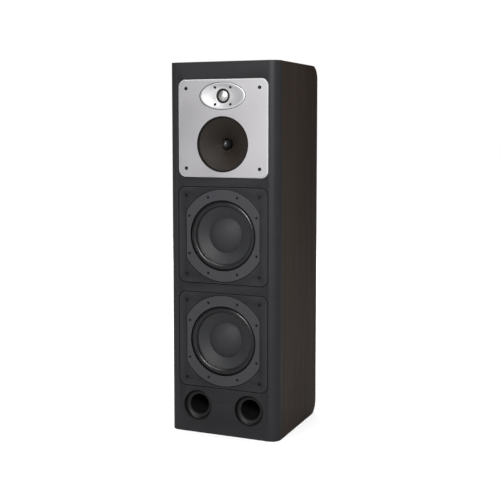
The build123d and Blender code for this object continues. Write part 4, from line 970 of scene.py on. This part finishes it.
# Black plastic, made much darker than the tray's plastic as painted shade deep inside the tubes.
port_black_with_painted_shade = moulded("port_black_with_painted_shade", (0.0030, 0.0030, 0.0032), 0.65, 0.5, 0.15)
for node in ("port_tube_left", "port_tube_right"):
    dress(node, port_black_with_painted_shade)


# ------------------------------------------------------------
# Terminal tray and posts: a moulded tray let into the back, with two plated brass posts. A washer
# and a red or black knob on each post clamp the cable's bare end.

moulded_black = moulded("moulded_black", (0.014, 0.014, 0.0145), 0.45, 0.5)
plated_brass = turned_metal("plated_brass", (0.78, 0.60, 0.30), 0.22, "y", 2600.0)
dress("terminal_tray", moulded_black)
for node in ("binding_posts", "positive_washer", "negative_washer"):
    dress(node, plated_brass)
dress("positive_knob", moulded("red_knob", (0.33, 0.012, 0.012), 0.32, 0.2))
dress("negative_knob", moulded("black_knob", (0.016, 0.016, 0.017), 0.32, 0.2))


# ------------------------------------------------------------
# Crossover: air-cored copper coils and wrapped film capacitors on a fibre board, screwed to the
# tray's inner face.

def printed_board(name):
    """Green fibre board: woven glass showing under the lacquer, with lighter tracks."""
    material, tree, shader, where = new_material(name, specular=0.5, coat=0.3)
    tracks = tree.nodes.new("ShaderNodeTexVoronoi")
    tracks.feature = "DISTANCE_TO_EDGE"
    tracks.distance = "EUCLIDEAN"
    tracks.inputs["Scale"].default_value = 70.0
    tracks.inputs["Randomness"].default_value = 0.55
    tree.links.new(where, tracks.inputs["Vector"])
    lanes = between(tree, tracks.outputs["Distance"], 0.06, 0.12, 1.0, 0.0)
    glass = noise(tree, where, 1500.0, 1.0)
    shade = blended(tree, glass, (0.010, 0.050, 0.020), (0.016, 0.072, 0.030))
    shade = tinted(tree, shade, lanes, 0.7, (0.06, 0.15, 0.05))
    skinned(tree, shader, shade, between(tree, glass, 0.3, 0.7, 0.3, 0.42))
    raised(tree, shader, lanes, 0.3, 0.00006)
    return material


dress("crossover_board", printed_board("fibre_board"))
dress("crossover_inductors", turned_metal("coil_winding", (0.62, 0.28, 0.12), 0.3, "y", 1400.0))
dress("crossover_capacitors", moulded("film_wrap", (0.42, 0.30, 0.05), 0.35, 0.1))


# ------------------------------------------------------------
# Internal wiring: stranded copper in a soft plastic sleeve, from the crossover to each unit.

dress("internal_wiring", moulded("cable_sleeve", (0.10, 0.10, 0.105), 0.4, 0.15))


# ------------------------------------------------------------
# Wadding: pads of bonded polyester fibre, cut to fit against the boards and held by their own
# spring. Each is a soft block with swollen faces and a loose, fluffy skin.

def bonded_fibre(name):
    """White polyester fibre: tangled strands over soft grey patches painted as shade in its hollows."""
    material, tree, shader, where = new_material(name, specular=0.2)
    shader.inputs["Sheen Weight"].default_value = 0.4
    shader.inputs["Sheen Roughness"].default_value = 0.5
    tangled = noise(tree, stretched(tree, where, (300, 900, 500)), 1.0, 5.0, 0.7)
    # Painted shade: grey patches where the fibre's hollows would be shaded.
    shaded_hollows = noise(tree, where, 60.0, 4.0, 0.6)
    shade = blended(tree, between(tree, shaded_hollows, 0.35, 0.65, 0.0, 1.0), (0.42, 0.42, 0.41),
                    (0.74, 0.74, 0.72))
    shade = tinted(tree, shade, tangled, 0.4, (0.85, 0.85, 0.83))
    skinned(tree, shader, shade, between(tree, tangled, 0.3, 0.7, 0.8, 0.95))
    raised(tree, shader, tangled, 0.9, 0.0012)
    return material


def loose_boxes(node):
    """The box of each separate solid in a CAD node."""
    bm = bmesh.new()
    bm.from_mesh(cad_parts[node].data)
    bmesh.ops.remove_doubles(bm, verts=bm.verts, dist=1e-6)
    waiting = set(bm.verts)
    boxes = []
    while waiting:
        island, edge = [], [waiting.pop()]
        while edge:
            here = edge.pop()
            island.append(here.co)
            for link in here.link_edges:
                other = link.other_vert(here)
                if other in waiting:
                    waiting.remove(other)
                    edge.append(other)
        boxes.append((Vector(min(p[i] for p in island) for i in range(3)),
                      Vector(max(p[i] for p in island) for i in range(3))))
    bm.free()
    return sorted(boxes, key=lambda pair: tuple(pair[0]))


def soft_block(name, low, high, material, cuts=22):
    """A padded block inside a box: crowned faces, round edges and a lumpy skin."""
    size, middle = (high - low) / 2, (high + low) / 2
    bm = bmesh.new()
    bmesh.ops.create_cube(bm, size=2.0)
    bmesh.ops.subdivide_edges(bm, edges=bm.edges, cuts=cuts, use_grid_fill=True)
    softness = 5.0
    for vertex in bm.verts:
        direction = vertex.co.copy()
        girth = sum(abs(c) ** softness for c in direction) ** (1 / softness)
        place = direction / girth
        spot = Vector(p * s for p, s in zip(place, size)) + middle
        lump = (turbulence.noise(spot * 34.0) + 0.5 * turbulence.noise(spot * 90.0)) * 0.003
        shrink = 1 - (0.0035 - lump) / max(1e-3, min(size))
        vertex.co = Vector(p * s * shrink for p, s in zip(place, size)) + middle
    block = finished_mesh(name, bm, material, 180.0)
    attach(block, "cabinet")
    return block


fibre_pad = bonded_fibre("bonded_fibre")
pads = [soft_block(f"wadding_pad_{number}", low, high, fibre_pad)
        for number, (low, high) in enumerate(loose_boxes("wadding"), 1)]
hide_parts("wadding")


# ------------------------------------------------------------
# Pale floor and soft studio light: white paper under an even ceiling, a broad key light and a
# weak card in front, and soft boxes for the side and the back. The back one throws no highlight.

paper_glow = 0.16


def paper(name):
    """White seamless paper with a faint tooth. It glows a little where it is seen directly, and
    throws less light back at the part than it shows."""
    material, tree, shader, where = new_material(name, specular=0.1)
    tooth = noise(tree, where, 40.0, 3.0)
    seen = tree.nodes.new("ShaderNodeLightPath").outputs["Is Camera Ray"]
    white = blended(tree, tooth, (0.84, 0.84, 0.84), (0.88, 0.88, 0.88))
    skinned(tree, shader, blended(tree, seen, (0.28, 0.28, 0.28), white),
            between(tree, tooth, 0.3, 0.7, 0.85, 0.95))
    shader.inputs["Emission Color"].default_value = (1.0, 1.0, 1.0, 1.0)
    tree.links.new(between(tree, seen, 0.0, 1.0, 0.0, paper_glow),
                   shader.inputs["Emission Strength"])
    return material


floor_reach = 30.0
ground = bmesh.new()
bmesh.ops.create_grid(ground, x_segments=8, y_segments=8, size=floor_reach)
floor = finished_mesh("studio_floor", ground, paper("studio_paper"), 180.0)


def soft_light(name, place, aim, width, height, power):
    """A rectangular area light at a place, turned to face another."""
    light = bpy.data.lights.new(name, "AREA")
    light.shape = "RECTANGLE"
    light.size, light.size_y = width, height
    light.energy = power
    lamp = bpy.data.objects.new(name, light)
    lamp.location = place
    lamp.rotation_euler = (Vector(aim) - Vector(place)).to_track_quat("-Z", "Y").to_euler()
    bpy.context.scene.collection.objects.link(lamp)
    return lamp


soft_light("key_light", (0.90, -3.35, 2.2), (0, 0, 0.65), 1.3, 1.0, 100.0)
soft_light("front_card", (-0.55, -3.3, 1.1), (0, 0, 0.8), 0.8, 1.8, 7.0)
soft_light("side_light", (3.4, 0.9, 1.7), (0, 0, 0.5), 1.2, 1.6, 4.0)
back_light = soft_light("back_light", (-2.6, 2.8, 1.9), (0, 0, 0.5), 1.6, 1.6, 70.0)
back_light.visible_glossy = False

ceiling = bpy.data.lights.new("ceiling_light", "SUN")
ceiling.energy = 2.9
ceiling.angle = math.radians(50)
ceiling_lamp = bpy.data.objects.new("ceiling_light", ceiling)
bpy.context.scene.collection.objects.link(ceiling_lamp)

world = bpy.data.worlds.new("studio_surround")
bpy.context.scene.world = world
world.use_nodes = True
surround = world.node_tree.nodes["Background"]
surround.inputs["Color"].default_value = (1.0, 1.0, 1.0, 1.0)
seen = world.node_tree.nodes.new("ShaderNodeLightPath")
glow = world.node_tree.nodes.new("ShaderNodeMapRange")
glow.inputs["To Min"].default_value = 0.10
glow.inputs["To Max"].default_value = 1.0
world.node_tree.links.new(seen.outputs["Is Camera Ray"], glow.inputs["Value"])
world.node_tree.links.new(glow.outputs["Result"], surround.inputs["Strength"])
bpy.context.scene.view_settings.view_transform = "Standard"


# ------------------------------------------------------------
# Camera: a short telephoto, a little above the middle of the cabinet and off to its right.

lens = bpy.data.cameras.new("studio_camera")
lens.lens = 68.72
lens.sensor_width = 36.0
lens.shift_y = -0.0806
camera = bpy.data.objects.new("studio_camera", lens)
camera.location = (1.0609, -2.4771, 0.8395)
camera.rotation_euler = (math.radians(85.09), 0.0, math.radians(22.906))
bpy.context.scene.collection.objects.link(camera)
bpy.context.scene.camera = camera
